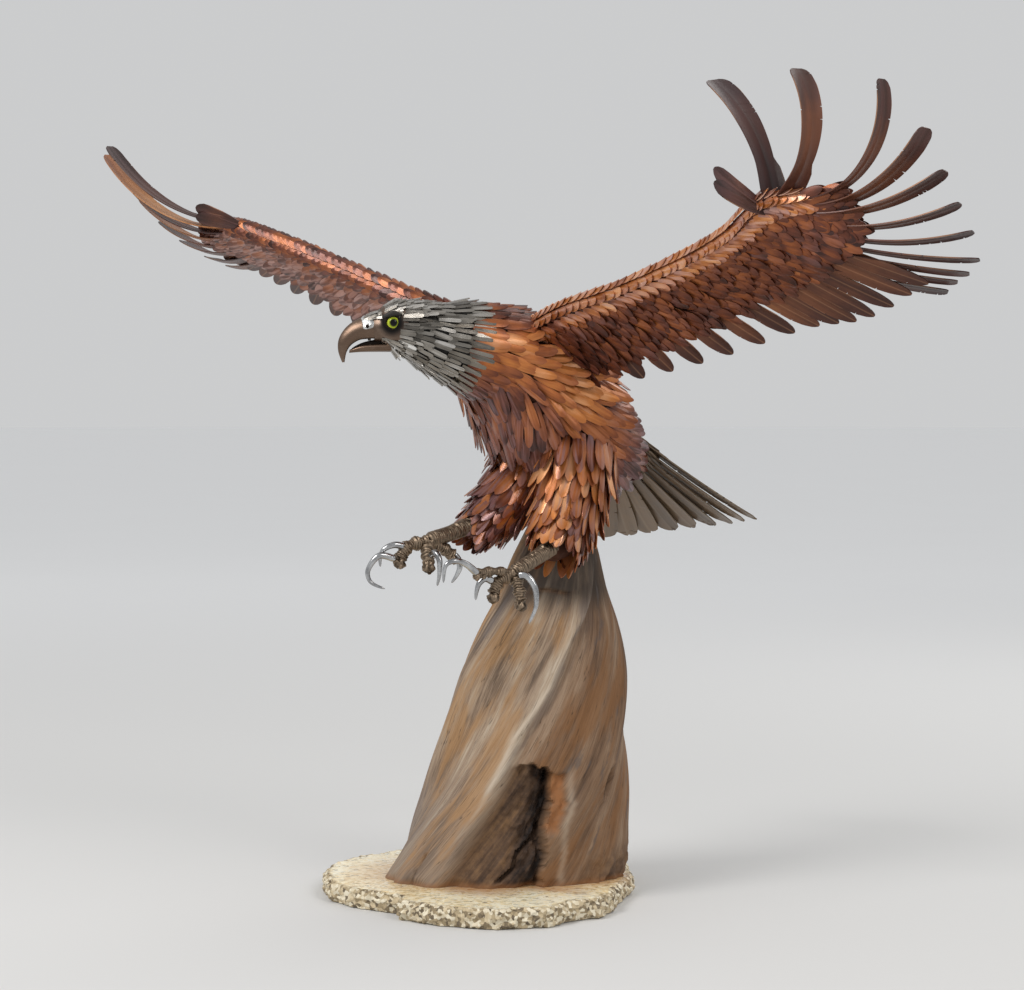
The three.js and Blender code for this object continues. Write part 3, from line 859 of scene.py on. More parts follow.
@dataclass(frozen=True)
class SheetMetal:
    """Heat-coloured sheet metal, coloured feather by feather from dark to bright."""

    name: str
    stops: tuple[tuple[float, Colour], ...]
    bloom_and_sheen: Colour
    cut_edge_glint: Colour
    rough: float = 0.42
    metal: float = 0.5
    coat: float = 0.1
    streak: float = 0.14
    dark_tip: float = 0.16
    painted_root_shade: float = 0.22
    rachis: float = 0.0

    def make(self) -> bpy.types.Material:
        """Builds the material.

        Returns:
            The material, which reads the marks of a bed of feathers.
        """
        tree = ShaderTree(self.name)
        tone, bloom_and_sheen = tree.mark("tone"), tree.mark("bloom_and_sheen")
        along, across = tree.mark("along"), tree.mark("across")
        own = tree.gather(across * 1.4, along * 0.9, tone * 61.0)
        brushed = tree.grain(tree.stretched(own, (9.0, 1.0, 1.0)), 1.6, 5.0, 0.6)
        heat = tree.grain(own, 1.1, 2.0, 0.5)
        patches = tree.grain(tree.spot(), 34.0, 3.0, 0.6)
        value = tone + (brushed - 0.5) * self.streak + (heat - 0.5) * 0.45 + (patches - 0.5) * 0.25
        # The roots are darkened with painted shade where the next feather overlaps them.
        value = value - along.step(0.55, 1.0) * self.dark_tip - (1 - along.step(0.05, 0.5)) * self.painted_root_shade
        colour = tree.ramp(value.clamped(), self.stops)
        # The bloom colour mixed in here is the metal's own heat colour on most finishes, and a painted pink
        # highlight on the bright copper.
        violet = bloom_and_sheen * heat.step(0.40, 0.62) * 0.8
        colour = tree.blend(violet.clamped(), colour, self.bloom_and_sheen)
        # A thin bright line along each feather's side edges: partly the bare cut metal, partly a painted
        # highlight where the edges catch light.
        rim = across.size().step(0.93, 1.0) * 0.3 * along.step(0.1, 0.4)
        colour = tree.blend(rim, colour, self.cut_edge_glint)
        if self.rachis:
            line = (1 - across.size().step(0.02, 0.12)) * self.rachis
            colour = tree.blend(line, colour, self.cut_edge_glint)
        rough = self.rough - bloom_and_sheen * 0.14 + (brushed - 0.5) * 0.16 + (patches - 0.5) * 0.22
        coat = (bloom_and_sheen * 0.55 + self.coat).clamped()
        height = brushed * 0.4 + tree.grain(tree.spot(), 240.0, 3.0) * 0.4
        return tree.finish(
            colour, rough.clamped(), self.metal, height, 0.25, Coat_Weight=coat, Coat_Roughness=0.16
        )


@dataclass(frozen=True)
class Dull:
    """The dark inner skin that shows between the feathers, painted dark to stand for the shade in the gaps.
    """

    name: str
    colour: Colour
    rough: float = 0.6

    def make(self) -> bpy.types.Material:
        """Builds the material."""
        tree = ShaderTree(self.name)
        cloud = tree.grain(tree.spot(), 70.0)
        dark = tuple(0.35 * c for c in self.colour)
        colour = tree.blend(cloud, dark, self.colour)
        return tree.finish(colour, self.rough + (cloud - 0.5) * 0.3, 0.7, cloud, 1.0)


@dataclass(frozen=True)
class SatinSteel:
    """Steel worked smooth, with faint heat colour and polishing lines."""

    name: str
    dark: Colour
    light: Colour
    rough: float
    scale: float = 60.0
    metal: float = 0.9
    depth: float = 0.25
    shaded: bool = False

    def make(self) -> bpy.types.Material:
        """Builds the material."""
        tree = ShaderTree(self.name)
        spot = tree.spot()
        cloud = tree.grain(spot, self.scale, 4.0, 0.6)
        lines = tree.grain(tree.stretched(spot, (1.0, 1.0, 7.0)), 170.0, 3.0)
        colour = tree.blend((cloud + (lines - 0.5) * 0.3).step(0.3, 0.7), self.dark, self.light)
        if self.shaded:
            colour = tree.blend(tree.mark("shade").clamped(), colour, (0.012, 0.011, 0.011))
        rough = self.rough + (cloud - 0.5) * 0.2 + (lines - 0.5) * 0.16
        return tree.finish(colour, rough.clamped(), self.metal, lines * 0.5 + cloud * 0.5, self.depth)


@dataclass(frozen=True)
class WeldBead:
    """Bronze-brown weld laid bead on bead."""

    name: str = "bronze_weld"
    valley: Colour = (0.035, 0.024, 0.016)
    crest: Colour = (0.36, 0.27, 0.19)

    def make(self) -> bpy.types.Material:
        """Builds the material, which reads how high each point stands on its bead."""
        tree = ShaderTree(self.name)
        spot = tree.spot()
        cloud = tree.grain(spot, 120.0, 4.0, 0.65)
        crest = tree.mark("bead")
        colour = tree.blend((crest * 0.8 + (cloud - 0.5) * 0.9).clamped(), self.valley, self.crest)
        rough = 0.42 + (cloud - 0.5) * 0.3
        return tree.finish(colour, rough, 0.85, cloud, 0.7)


@dataclass(frozen=True)
class Driftwood:
    """Weathered driftwood with a twisted grain, ochre streaks and a rotten hollow."""

    name: str = "driftwood"

    def make(self) -> bpy.types.Material:
        """Builds the material from the grain's own coordinates."""
        tree = ShaderTree(self.name)
        x, y, height = (tree.mark(key) for key in ("grain_x", "grain_y", "grain_height"))
        rot, foot, shelter, lip = (tree.mark(key) for key in ("rot", "foot", "shelter", "lip"))
        deep, neck, crest = (tree.mark(key) for key in ("deep", "neck", "crest"))
        broad = tree.grain(tree.gather(x * 2.1, y * 2.1, height * 0.42), 1.0, 3.0, 0.5)
        coarse = tree.grain(tree.gather(x * 6.5, y * 6.5, height * 0.75), 1.0, 4.0, 0.55)
        medium = tree.grain(tree.gather(x * 22.0, y * 22.0, height * 1.4), 1.0, 4.0, 0.6)
        fine = tree.grain(tree.gather(x * 80.0, y * 80.0, height * 3.2), 1.0, 3.0, 0.65)
        value = broad * 0.6 + coarse * 0.4 + (medium - 0.5) * 0.30 + (fine - 0.5) * 0.22
        colour = tree.ramp(value, (
            (0.34, (0.100, 0.072, 0.055)), (0.43, (0.21, 0.145, 0.098)), (0.50, (0.34, 0.245, 0.170)),
            (0.57, (0.41, 0.310, 0.220)), (0.68, (0.54, 0.45, 0.35)),
        ))
        low = (1 - height.step(0.8, 2.6)) * (1 - shelter) * (broad * 1.6 - 0.2)
        colour = tree.blend(low.clamped() * 0.7, colour, (0.195, 0.152, 0.125))
        ochre = tree.grain(tree.gather(x * 2.6 + 7.0, y * 2.6, height * 0.55), 1.0, 4.0, 0.6)
        colour = tree.blend(ochre.step(0.49, 0.64) * 0.68, colour, (0.38, 0.205, 0.082))
        colour = tree.blend(ochre.step(0.45, 0.34) * 0.55, colour, (0.225, 0.185, 0.165))
        colour = tree.blend((1 - fine.step(0.34, 0.5)) * 0.22, colour, (0.12, 0.075, 0.048))
        contour = tree.grain(tree.gather(x * 11.0 + 2.0, y * 11.0, height * 0.55), 1.0, 3.0, 0.5)
        fissure = (1 - (contour - 0.5).size().step(0.0, 0.012)) * medium.step(0.42, 0.58)
        colour = tree.blend(fissure * 0.75, colour, (0.060, 0.040, 0.028))
        # Painted shade: the stump's right face, past the crest, is multiplied darker and warmer.
        dusk = tree.blend(1.0, colour, (0.60, 0.50, 0.43), "MULTIPLY")
        colour = tree.blend(shelter.clamped(), colour, dusk)
        stain = tree.grain(tree.gather(x * 5.0 - 3.0, y * 5.0, height * 1.1), 1.0, 4.0, 0.6)
        colour = tree.blend((neck * (stain + 0.45)).clamped(), colour, (0.050, 0.037, 0.028))
        colour = tree.blend(stain.step(0.62, 0.70) * 0.6, colour, (0.105, 0.085, 0.078))
        colour = tree.blend((crest * (medium + 0.2)).clamped(), colour, (0.60, 0.50, 0.39))
        blotch = tree.grain(tree.spot(), 42.0, 6.0, 0.75)
        # deep darkens the innermost hollow and the crack further: painted shade in the recess, over the rot's
        # own dark colour.
        punk = tree.ramp(coarse * 0.4 + medium * 0.25 + blotch * 0.35 - deep * 0.14, (
            (0.32, (0.010, 0.006, 0.005)), (0.40, (0.050, 0.028, 0.017)), (0.50, (0.115, 0.066, 0.037)),
            (0.62, (0.23, 0.130, 0.062)),
        ))
        colour = tree.blend(rot.clamped(), colour, punk)
        colour = tree.blend((lip * (blotch * 2.0 - 0.1)).clamped(), colour, (0.30, 0.128, 0.048))
        colour = tree.blend(foot.clamped() * (fine + 0.1), colour, (0.27, 0.12, 0.045))
        relief = coarse * 0.4 + medium * 0.4 + fine * 0.2
        rough = 0.74 + (fine - 0.5) * 0.25
        return tree.finish(colour, rough.clamped(), 0.0, relief, 1.8, Specular_IOR_Level=0.3)


@dataclass(frozen=True)
class Granite:
    """Granite with a polished cream face and a rough broken edge."""

    name: str = "granite"

    def make(self) -> bpy.types.Material:
        """Builds the material from the slab's marks and its place."""
        tree = ShaderTree(self.name)
        spot, face, rust = tree.spot(), tree.mark("face"), tree.mark("rust")
        cloud = tree.grain(spot, 9.0, 5.0, 0.6)
        crystals = tree.cells(spot, 190.0)
        shade = tree.add("ShaderNodeSeparateColor", inputs={"Color": crystals})
        turn = {"Vector": spot, "Angle": math.radians(-30.0)}
        along = tree.add("ShaderNodeVectorRotate", {"rotation_type": "Z_AXIS"}, turn)
        flecks = tree.grain(tree.stretched(along, (1.0, 2.8, 1.0)), 78.0, 5.0, 0.7)
        polished = tree.ramp(cloud + (shade - 0.5) * 0.35, (
            (0.3, (0.80, 0.61, 0.33)), (0.5, (0.96, 0.83, 0.54)), (0.72, (0.98, 0.93, 0.74)),
        ))
        polished = tree.blend((1 - flecks.step(0.385, 0.45)) * 0.8, polished, (0.15, 0.11, 0.065))
        polished = tree.blend(flecks.step(0.6, 0.7) * 0.5, polished, (0.95, 0.90, 0.78))
        broken = tree.ramp(shade * 0.7 + flecks * 0.5, (
            (0.25, (0.15, 0.115, 0.075)), (0.42, (0.40, 0.31, 0.185)), (0.62, (0.66, 0.54, 0.35)),
            (0.85, (0.88, 0.80, 0.62)),
        ))
        colour = tree.blend(face.clamped(), broken, polished)
        colour = tree.blend((rust * (cloud + 0.15)).clamped(), colour, (0.42, 0.17, 0.04))
        rough = (1 - face) * 0.55 + 0.2 + (flecks - 0.5) * 0.15
        height = (1 - face) * (shade * 0.5 + flecks * 0.8) + flecks * 0.05
        return tree.finish(colour, rough.clamped(), 0.0, height, 2.6)


@dataclass(frozen=True)
class GlassEye:
    """A glass eye: black pupil, lime-yellow iris ring and a dark rim, by the angle off its gaze."""

    name: str = "eye_glass"
    pupil: float = 0.33
    iris: float = 0.84

    def make(self) -> bpy.types.Material:
        """Builds the material."""
        tree = ShaderTree(self.name)
        gaze = tree.mark("gaze")
        fibres = tree.grain(tree.spot(), 900.0, 2.0)
        iris = tree.ramp(gaze + (fibres - 0.5) * 0.1, (
            (self.pupil, (0.08, 0.10, 0.008)), (0.46, (0.32, 0.40, 0.02)), (0.62, (0.72, 0.80, 0.08)),
            (self.iris, (0.30, 0.36, 0.02)),
        ))
        colour = tree.blend(gaze.step(self.pupil - 0.03, self.pupil + 0.03), (0.002, 0.002, 0.002), iris)
        colour = tree.blend(gaze.step(self.iris - 0.03, self.iris + 0.05), colour, (0.004, 0.004, 0.003))
        return tree.finish(colour, 0.05, 0.0, Coat_Weight=0.2, Coat_Roughness=0.02, Specular_IOR_Level=0.12)


COPPER_STOPS = (
    (0.0, (0.045, 0.013, 0.008)), (0.25, (0.14, 0.036, 0.015)), (0.5, (0.34, 0.098, 0.024)),
    (0.75, (0.56, 0.195, 0.045)), (1.0, (0.80, 0.40, 0.19)),
)
DARK_STOPS = (
    (0.0, (0.026, 0.009, 0.007)), (0.3, (0.078, 0.025, 0.014)), (0.6, (0.22, 0.075, 0.028)),
    (0.85, (0.46, 0.19, 0.060)), (1.0, (0.66, 0.33, 0.14)),
)
GREY_STOPS = (
    (0.0, (0.030, 0.027, 0.023)), (0.3, (0.115, 0.104, 0.090)), (0.6, (0.29, 0.27, 0.24)),
    (0.85, (0.54, 0.52, 0.49)), (1.0, (0.86, 0.85, 0.82)),
)
KHAKI_STOPS = (
    (0.0, (0.032, 0.020, 0.011)), (0.35, (0.118, 0.074, 0.040)), (0.65, (0.225, 0.145, 0.078)),
    (1.0, (0.43, 0.33, 0.22)),
)


class Finishes:
    """Every material of the sculpture, each made once."""

    def __init__(self) -> None:
        """Makes the materials."""
        violet, plum, cut = (0.27, 0.15, 0.16), (0.15, 0.075, 0.085), (0.80, 0.42, 0.22)
        self.copper = SheetMetal("copper_feathers", COPPER_STOPS, violet, cut).make()
        self.flight = SheetMetal(
            "flight_feathers", DARK_STOPS, plum, cut, rough=0.5, metal=0.35, coat=0.03, dark_tip=0.3
        ).make()
        self.vane = SheetMetal("vaned_feathers", DARK_STOPS, plum, cut, dark_tip=0.2, rachis=0.16).make()
        # This copper's pink bloom colour is a painted highlight: the glints on the far wing's coverts and on
        # the near wing's leading edge.
        self.bright = SheetMetal(
            "copper_painted_highlight", COPPER_STOPS, (0.62, 0.38, 0.34), (0.9, 0.6, 0.4),
            rough=0.42, metal=0.6, dark_tip=0.12,
        ).make()
        self.strips = SheetMetal(
            "grey_strips", GREY_STOPS, (0.19, 0.15, 0.10), (0.82, 0.82, 0.80),
            rough=0.33, metal=0.85, coat=0.1, dark_tip=0.02, painted_root_shade=0.12, streak=0.3,
        ).make()
        self.khaki = SheetMetal(
            "khaki_tail", KHAKI_STOPS, (0.17, 0.115, 0.075), (0.42, 0.36, 0.28),
            rough=0.6, metal=0.25, coat=0.0, dark_tip=0.06, streak=0.45, rachis=0.12,
        ).make()
        # The inner forms are painted dark to stand for the shade in the gaps between the feathers and the
        # strips.
        self.under_copper = Dull("under_copper", (0.10, 0.035, 0.018)).make()
        self.under_steel = Dull("under_steel", (0.06, 0.055, 0.050)).make()
        self.beak = SatinSteel(
            "beak_metal", (0.135, 0.088, 0.062), (0.215, 0.150, 0.112), 0.36, 16.0, depth=0.12
        ).make()
        self.face = SatinSteel(
            "face_metal", (0.135, 0.092, 0.068), (0.24, 0.175, 0.135), 0.36, 24.0, depth=0.12, shaded=True
        ).make()
        self.cere = SatinSteel(
            "silver_cere", (0.40, 0.40, 0.39), (0.80, 0.80, 0.79), 0.24, 90.0, depth=0.8
        ).make()
        # Near-black painted shade for the eye sockets, the nostril holes, the gape and the mouth's lining.
        self.mouth = Dull("painted_recess_shade", (0.02, 0.012, 0.009), 0.7).make()
        self.claw = SatinSteel(
            "polished_claw", (0.27, 0.27, 0.275), (0.58, 0.59, 0.60), 0.14, 40.0, 1.0
        ).make()
        self.weld = WeldBead().make()
        self.wood = Driftwood().make()
        self.stone = Granite().make()
        self.eye = GlassEye().make()


# ------------------------------------------------------------------ sub-assemblies


@dataclass
class SubAssembly:
    """A group of pieces that are made together."""

    finishes: Finishes
    draw: random.Random

    def dress(self, piece: bpy.types.Object, material: bpy.types.Material, slot: Slot, *nodes: str) -> None:
        """Gives a piece its material and its body, and hides the solids that it stands for.

        Args:
            piece: The finished piece.
            material: Its material.
            slot: The record's slot; not used.
            nodes: The solids that it replaces.
        """
        piece.data.materials.clear()
        piece.data.materials.append(material)
        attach(piece, "root")
        if nodes:
            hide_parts(*nodes)
        LOG.info("%s: %d faces", piece.name, len(piece.data.polygons))

    def blanks(self, outline: Outline, columns: int, rows: int, count: int = 1) -> list[Blank]:
        """A few blanks of one outline, whose slits differ."""
        return [Cutter.cut(outline, columns, rows, self.draw) for _ in range(count)]

    def near(self, value: float, spread: float) -> float:
        """A value, varied evenly by up to a share of itself."""
        return value * (1 + self.draw.uniform(-spread, spread))


@dataclass
class Slab(SubAssembly):
    """The broken slab of granite."""

    outline: tuple[tuple[float, float], ...] = (
        (-180, -142), (-122, -156), (-28, -148), (-10, -176), (70, -168), (148, -136), (200, -76),
        (204, -14), (224, 18), (216, 58), (180, 140), (164, 190), (116, 248), (70, 300), (18, 296),
        (-60, 284), (-150, 240), (-224, 172), (-262, 110), (-282, 40), (-276, -30), (-242, -88),
    )
    thickness: float = 30.0
    edge: tuple[tuple[float, float], ...] = (
        (0.0, 0.5), (0.0, 0.96), (1.5, 0.975), (5, 0.985), (9, 0.99), (13, 0.99), (17, 0.99), (21, 0.985),
        (25, 0.98), (28, 0.972), (30, 0.962), (30, 0.94), (30, 0.88), (30, 0.6), (30, 0.3),
    )
    top_level: int = 11
    around: int = 420
    chip: float = 6.0
    fine_chip: float = 3.5
    undercut: float = 2.0
    rust_centre: tuple[float, float] = (0.0, 66.0)
    rust_reach: tuple[float, float] = (184.0, 128.0)
    rust_turn: float = FACING

    def __post_init__(self) -> None:
        """Starts with no reach worked out."""
        self.known: dict[float, float] = {}

    def reach(self, angle: float) -> float:
        """How far the outline is from the middle in a direction, in millimetres."""
        if angle in self.known:
            return self.known[angle]
        way = np.array((math.cos(angle), math.sin(angle)))
        best = 0.0
        for a, b in zip(self.outline, self.outline[1:] + self.outline[:1]):
            p, q = np.array(a), np.array(b)
            edge = q - p
            bottom = way[0] * edge[1] - way[1] * edge[0]
            if abs(bottom) < 1e-9:
                continue
            far = (p[0] * edge[1] - p[1] * edge[0]) / bottom
            share = (p[0] * way[1] - p[1] * way[0]) / bottom
            if far > 0 and -1e-9 <= share <= 1 + 1e-9:
                best = max(best, far)
        self.known[angle] = best
        return best

    def point(self, angle: float, t: float) -> np.ndarray:
        """A point of the slab's surface, in metres.

        Args:
            angle: Radians round the slab.
            t: Share of the way from the middle of the underside round the edge to the top's.

        Returns:
            The point.
        """
        level = t * (len(self.edge) - 1)
        index = int(round(level))
        height, share = self.edge[index]
        far = self.reach(angle)
        on_edge = 1 <= index <= self.top_level
        spot = Vector((math.cos(angle) * far * 0.02, math.sin(angle) * far * 0.02, height * 0.05))
        bite = 0.0
        if on_edge:
            bite = self.chip * max(-0.2, noise.fractal(spot * 2.6, 0.7, 2.1, 5) + 0.35)
            bite += self.fine_chip * abs(noise.noise(spot * 9.0))
        if height == 0.0:
            bite += self.undercut
        size = far * share - bite
        top = 0.0
        if height >= 28 and on_edge:
            worn = 5.5 if height < self.thickness or share > 0.95 else 2.0
            top = max(0.0, noise.noise(spot * 5.0 + Vector((7, 0, 0)))) * worn
        return np.array((math.cos(angle) * size, math.sin(angle) * size, height - top)) * MM

    def rust(self, angle: float, t: float) -> float:
        """How rusty the face is, most at the stump's foot."""
        x, y, z = self.point(angle, t) / MM
        turn = math.radians(self.rust_turn)
        dx, dy = x - self.rust_centre[0], y - self.rust_centre[1]
        u = (dx * math.cos(turn) + dy * math.sin(turn)) / self.rust_reach[0]
        v = (dy * math.cos(turn) - dx * math.sin(turn)) / self.rust_reach[1]
        return falling(math.hypot(u, v), 0.97, 1.10) * float(z > 20)

    def build(self) -> None:
        """Builds the slab."""
        levels = len(self.edge) - 1
        marks = {"rust": self.rust, "face": lambda a, t: float(round(t * levels) >= self.top_level)}
        slab = Bench.wrapped("granite_slab_stone", self.around, levels, self.point, marks, 32)
        self.dress(slab, self.finishes.stone, Slot.GRANITE, "granite_slab")


@dataclass
class Stump(SubAssembly):
    """The driftwood stump, its grain twisted round it, hollowed by rot at the front."""

    rows: tuple[Row, ...] = (
        (30.3, -8, 64, 178, 118, 0), (60, -1, 73, 174, 114, 8), (105, 8, 84, 164, 108, 20),
        (160, 21, 97, 154, 103, 34), (220, 30, 108, 145, 98, 50), (285, 34, 117, 134, 92, 68),
        (350, 34, 126, 124, 85, 88), (410, 37, 134, 107, 77, 106), (460, 38, 141, 87, 69, 120),
        (520, 38, 147, 66, 57, 135), (580, 40, 154, 44, 42, 150),
    )
    facing: float = FACING
    ridges: tuple[Row, ...] = ((3, 0.05, 20), (5, 0.03, 75), (8, 0.008, 10), (13, 0.004, 40))
    crest: tuple[tuple[float, float], ...] = (
        (30, 238), (91, 243), (193, 250), (251, 255.5), (309, 270), (397, 287), (455, 309), (580, 350),
    )
    crest_depth: float = 15.0
    lip: tuple[tuple[float, float], ...] = ((30, 294), (110, 287), (214, 281), (320, 276))
    hollow_top: float = 214.0
    hollow_depth: float = 42.0
    ledge_foot: float = 112.0
    crack: tuple[tuple[float, float], ...] = ((36, 268), (58, 275), (80, 274), (100, 281), (124, 285))
    knot: tuple[float, float, float] = (325.0, 181.0, 11.0)
    knot_depth: float = 8.0
    split: tuple[float, float] = (221.0, 92.0)
    check: tuple[float, float] = (268.0, 468.0)
    corner: float = 352.0
    neck: float = 285.0
    around: int = 300
    along: int = 190

    def __post_init__(self) -> None:
        """Reads the stations once."""
        self.stations = Stations(self.rows)
        turn = math.radians(self.facing)
        self.sideways = np.array((math.cos(turn), math.sin(turn), 0.0))
        self.away = np.cross(UP, self.sideways)
        self.known: dict[tuple[float, float], tuple[np.ndarray, dict[str, float]]] = {}

    @staticmethod
    def apart(degrees: float, other: float) -> float:
        """How far one direction is past another, from -180 to 180."""
        return (degrees - other + 180) % 360 - 180

    def relief(self, angle: float, t: float) -> tuple[np.ndarray, dict[str, float]]:
        """The stump's surface and what its finish reads there.

        Args:
            angle: Radians round the stump.
            t: Share of its height.

        Returns:
            The point in metres and the marks by name.
        """
        if (angle, t) in self.known:
            return self.known[angle, t]
        z, x, y, across, deep, turn = self.stations.at(t)
        degrees = math.degrees(angle)
        ball = Vector((math.cos(angle), math.sin(angle), 0.0))
        swell = 1.0
        for count, depth, phase in self.ridges:
            swell += depth * math.cos(math.radians(count * (degrees - turn) + phase))
        grain = math.radians(degrees - 0.6 * turn)
        fibre = Vector((math.cos(grain) * 3.1, math.sin(grain) * 3.1, z * 0.0016))
        swell += 0.014 * noise.fractal(fibre * 1.1, 0.6, 2.0, 3) + 0.003 * noise.noise(fibre * 8.0)
        swell = min(swell, 1.1)
        past = self.apart(degrees, float(np.interp(z, *zip(*self.crest))))
        fade = falling(z, 430, 560)
        shelter = rising(past, 0.0, 7.0) * math.exp(-max(past, 0.0) / 34) * fade if past > 0 else 0.0
        drop = self.crest_depth * shelter - 1.6 * fade * math.exp(-((past + 3) / 5) ** 2)
        wander = 2.6 * noise.noise(Vector((z * 0.03, 1.0, 4.0)))
        wander += 1.2 * noise.noise(Vector((z * 0.12, 5.0, 0.0)))
        short = self.apart(float(np.interp(z, *zip(*self.lip))) + wander, degrees)
        share = max(past, 0.0) / max(past + short, 1.0) if short > 0 else 1.0
        arch = self.hollow_top - 9 * (2 * min(share, 1.0) - 0.9) ** 2 + 7 * noise.noise(ball * 11.0)
        roof = rising(arch - z, 0.0, 5.0)
        inside = rising(past, 2.0, 10.0) * rising(short, 0.0, 2.2) * roof
        lump = noise.fractal(Vector((degrees * 0.16, z * 0.03, 3.0)), 0.8, 2.0, 5)
        low = 0.45 + 0.55 * rising(z, 40, 120)
        drop += inside * low * self.hollow_depth * (0.22 + 0.78 * share ** 2) * (0.9 + 0.4 * lump)
        ledge = rising(-short, -1.0, 0.6) * falling(-short, 6.0, 8.5) * roof
        ledge *= rising(z, self.ledge_foot - 8, self.ledge_foot + 8)
        drop += ledge * (7.0 + 5.0 * lump)
        cleft = abs(self.apart(degrees, float(np.interp(z, *zip(*self.crack))) + 0.6 * wander))
        cleft = falling(cleft, 0.7, 2.2) * rising(z, 34, 44) * falling(z, 116, 128)
        drop += 11.0 * cleft
        split = abs(self.apart(degrees, self.split[0] + 0.05 * z))
        drop += 5.0 * falling(split, 0.0, 1.6) * falling(z, self.split[1] - 16, self.split[1])
        knot_turn, knot_height, knot_size = self.knot
        across_knot = self.apart(degrees, knot_turn) * across * 0.0175 / knot_size
        near = math.hypot(across_knot, (z - knot_height) / (2 * knot_size)) + 0.12 * lump
        whorl = falling(near, 0.5, 1.05)
        drop += self.knot_depth * whorl - 3.5 * math.exp(-((near - 1.35) / 0.3) ** 2)
        check = math.exp(-((z - self.check[1] - 7 * noise.noise(ball * 2.5)) / 3.0) ** 2)
        check *= falling(abs(self.apart(degrees, self.check[0])), 14, 30)
        drop += 5.0 * check
        corner = falling(z, 52, 92) * falling(abs(self.apart(degrees, self.corner)), 22, 46)
        drop += corner * (2.0 + 6.0 * lump)
        spot = (
            np.array((x, y, z))
            + self.sideways * (across * swell - drop) * math.cos(angle)
            + self.away * (deep * swell - drop) * math.sin(angle)
        )
        if t > 0.9:
            spot[2] -= max(0.0, 14 * (t - 0.9) / 0.1 * (0.6 + noise.noise(ball * 3.0 + Vector((0, 0, 1)))))
        undercut = falling(z, 30.3, 44) * max(0.0, noise.noise(ball * 5.0)) * 16
        spot[:2] += (np.array((x, y)) - spot[:2]) * undercut / 120
        spot[2] = max(spot[2], self.rows[0][0])
        marks = {
            "grain_x": math.cos(grain), "grain_y": math.sin(grain), "grain_height": z * 0.01,
            "rot": min(1.0, inside * 1.1 + cleft + 0.85 * whorl + check + 0.6 * corner),
            # The innermost hollow and the crack, darkened further in the finish as painted shade.
            "deep": min(1.0, inside * rising(share, 0.45, 0.8) + cleft),
            "lip": ledge,
            # How far a point lies on the right face past the crest, which the finish darkens as painted
            # shade.
            "shelter": rising(past, 0, 9) * falling(past, 120, 170),
            "crest": max(
                math.exp(-((past + 1.6) / 1.5) ** 2) * rising(z, 120, 200) * falling(z, 300, 350),
                0.45 * math.exp(-((short + 11.0) / 2.4) ** 2) * falling(z, 170, 222),
            ),
            "neck": rising(z, 425, 475) * falling(abs(self.apart(degrees, self.neck)), 40, 95),
            "foot": falling(z, 31, 40),
        }
        self.known[angle, t] = spot * MM, marks
        return self.known[angle, t]

    def build(self) -> None:
        """Builds the stump."""
        names = (
            "grain_x", "grain_y", "grain_height", "rot", "deep", "lip", "shelter", "crest", "neck", "foot",
        )
        marks = {name: lambda a, t, name=name: self.relief(a, t)[1][name] for name in names}
        stump = Bench.wrapped(
            "driftwood_stump_wood", self.around, self.along, lambda a, t: self.relief(a, t)[0], marks, 50
        )
        self.dress(stump, self.finishes.wood, Slot.DRIFTWOOD, "driftwood_stump")


@dataclass
class Plumage:
    """Rows of small feathers over a limb."""

    limb: Limb
    pitch: float
    spacing: float
    length: tuple[float, float]
    width: float
    lift: float = 0.2
    curl: float = 0.14
    cup: float = 0.12
    start: float = 0.0
    end: float = 1.0
    sink: float = 1.5
    vary: float = 0.22
    splay: float = 7.0

    def lay(
        self,
        bed: Bed,
        blanks: Sequence[Blank],
        draw: random.Random,
        sway: Callable[[float, float], float],
        tone: Callable[[float, float, np.ndarray], Tone],
        wanted: Callable[[float, float, np.ndarray], bool] = lambda t, s, spot: True,
    ) -> None:
        """Lays the rows, each staggered against the one before.

        Args:
            bed: What they are laid in.
            blanks: The feathers to choose from.
            draw: Where their small differences are drawn from.
            sway: Degrees that a feather turns towards the back, by its share of the length and its degrees
                from the middle of the back.
            tone: A feather's colour, by the same and its place in millimetres.
            wanted: Whether there is a feather at a place.
        """
        rows = max(2, round(self.limb.length() * (self.end - self.start) / (self.pitch * MM)))
        for row in range(rows):
            t = self.start + (self.end - self.start) * row / (rows - 1)
            count = max(6, round(self.limb.girth(t) / (self.spacing * MM)))
            for i in range(count):
                angle = 2 * math.pi * (i + 0.5 * (row % 2) + draw.uniform(-0.18, 0.18)) / count
                at = min(max(t + draw.uniform(-0.25, 0.25) * (self.end - self.start) / rows, 0.0), 1.0)
                spot = self.limb.skin(at, angle, -self.sink * MM)
                from_back = abs((math.degrees(angle) - 90 + 180) % 360 - 180)
                if not wanted(at, from_back, spot / MM):
                    continue
                normal, run, climb = self.limb.axes(at, angle)
                way = math.radians(sway(at, from_back) + draw.gauss(0, self.splay))
                length = self.length[0] + (self.length[1] - self.length[0]) * at
                bed.lay(
                    draw.choice(blanks),
                    spot,
                    run * math.cos(way) + climb * math.sin(way),
                    normal,
                    length * (1 + draw.uniform(-1, 1) * self.vary),
                    self.width * (1 + draw.uniform(-1, 1) * self.vary),
                    tone(at, from_back, spot / MM),
                    self.lift * draw.uniform(0.6, 1.4),
                    self.curl * draw.uniform(0.6, 1.4),
                    self.cup,
                )


def bump(value: float, middle: float, reach: float) -> float:
    """A smooth hump: 1 at its middle and 0 beyond its reach."""
    return 0.5 + 0.5 * math.cos(math.pi * min(abs(value - middle) / reach, 1.0))


def core(name: str, limb: Limb, inset: float, around: int = 40, along: int = 40) -> bpy.types.Object:
    """The dark inner form that feathers stand on."""
    return Bench.wrapped(name, around, along, lambda angle, t: limb.skin(t, -angle, -inset * MM))


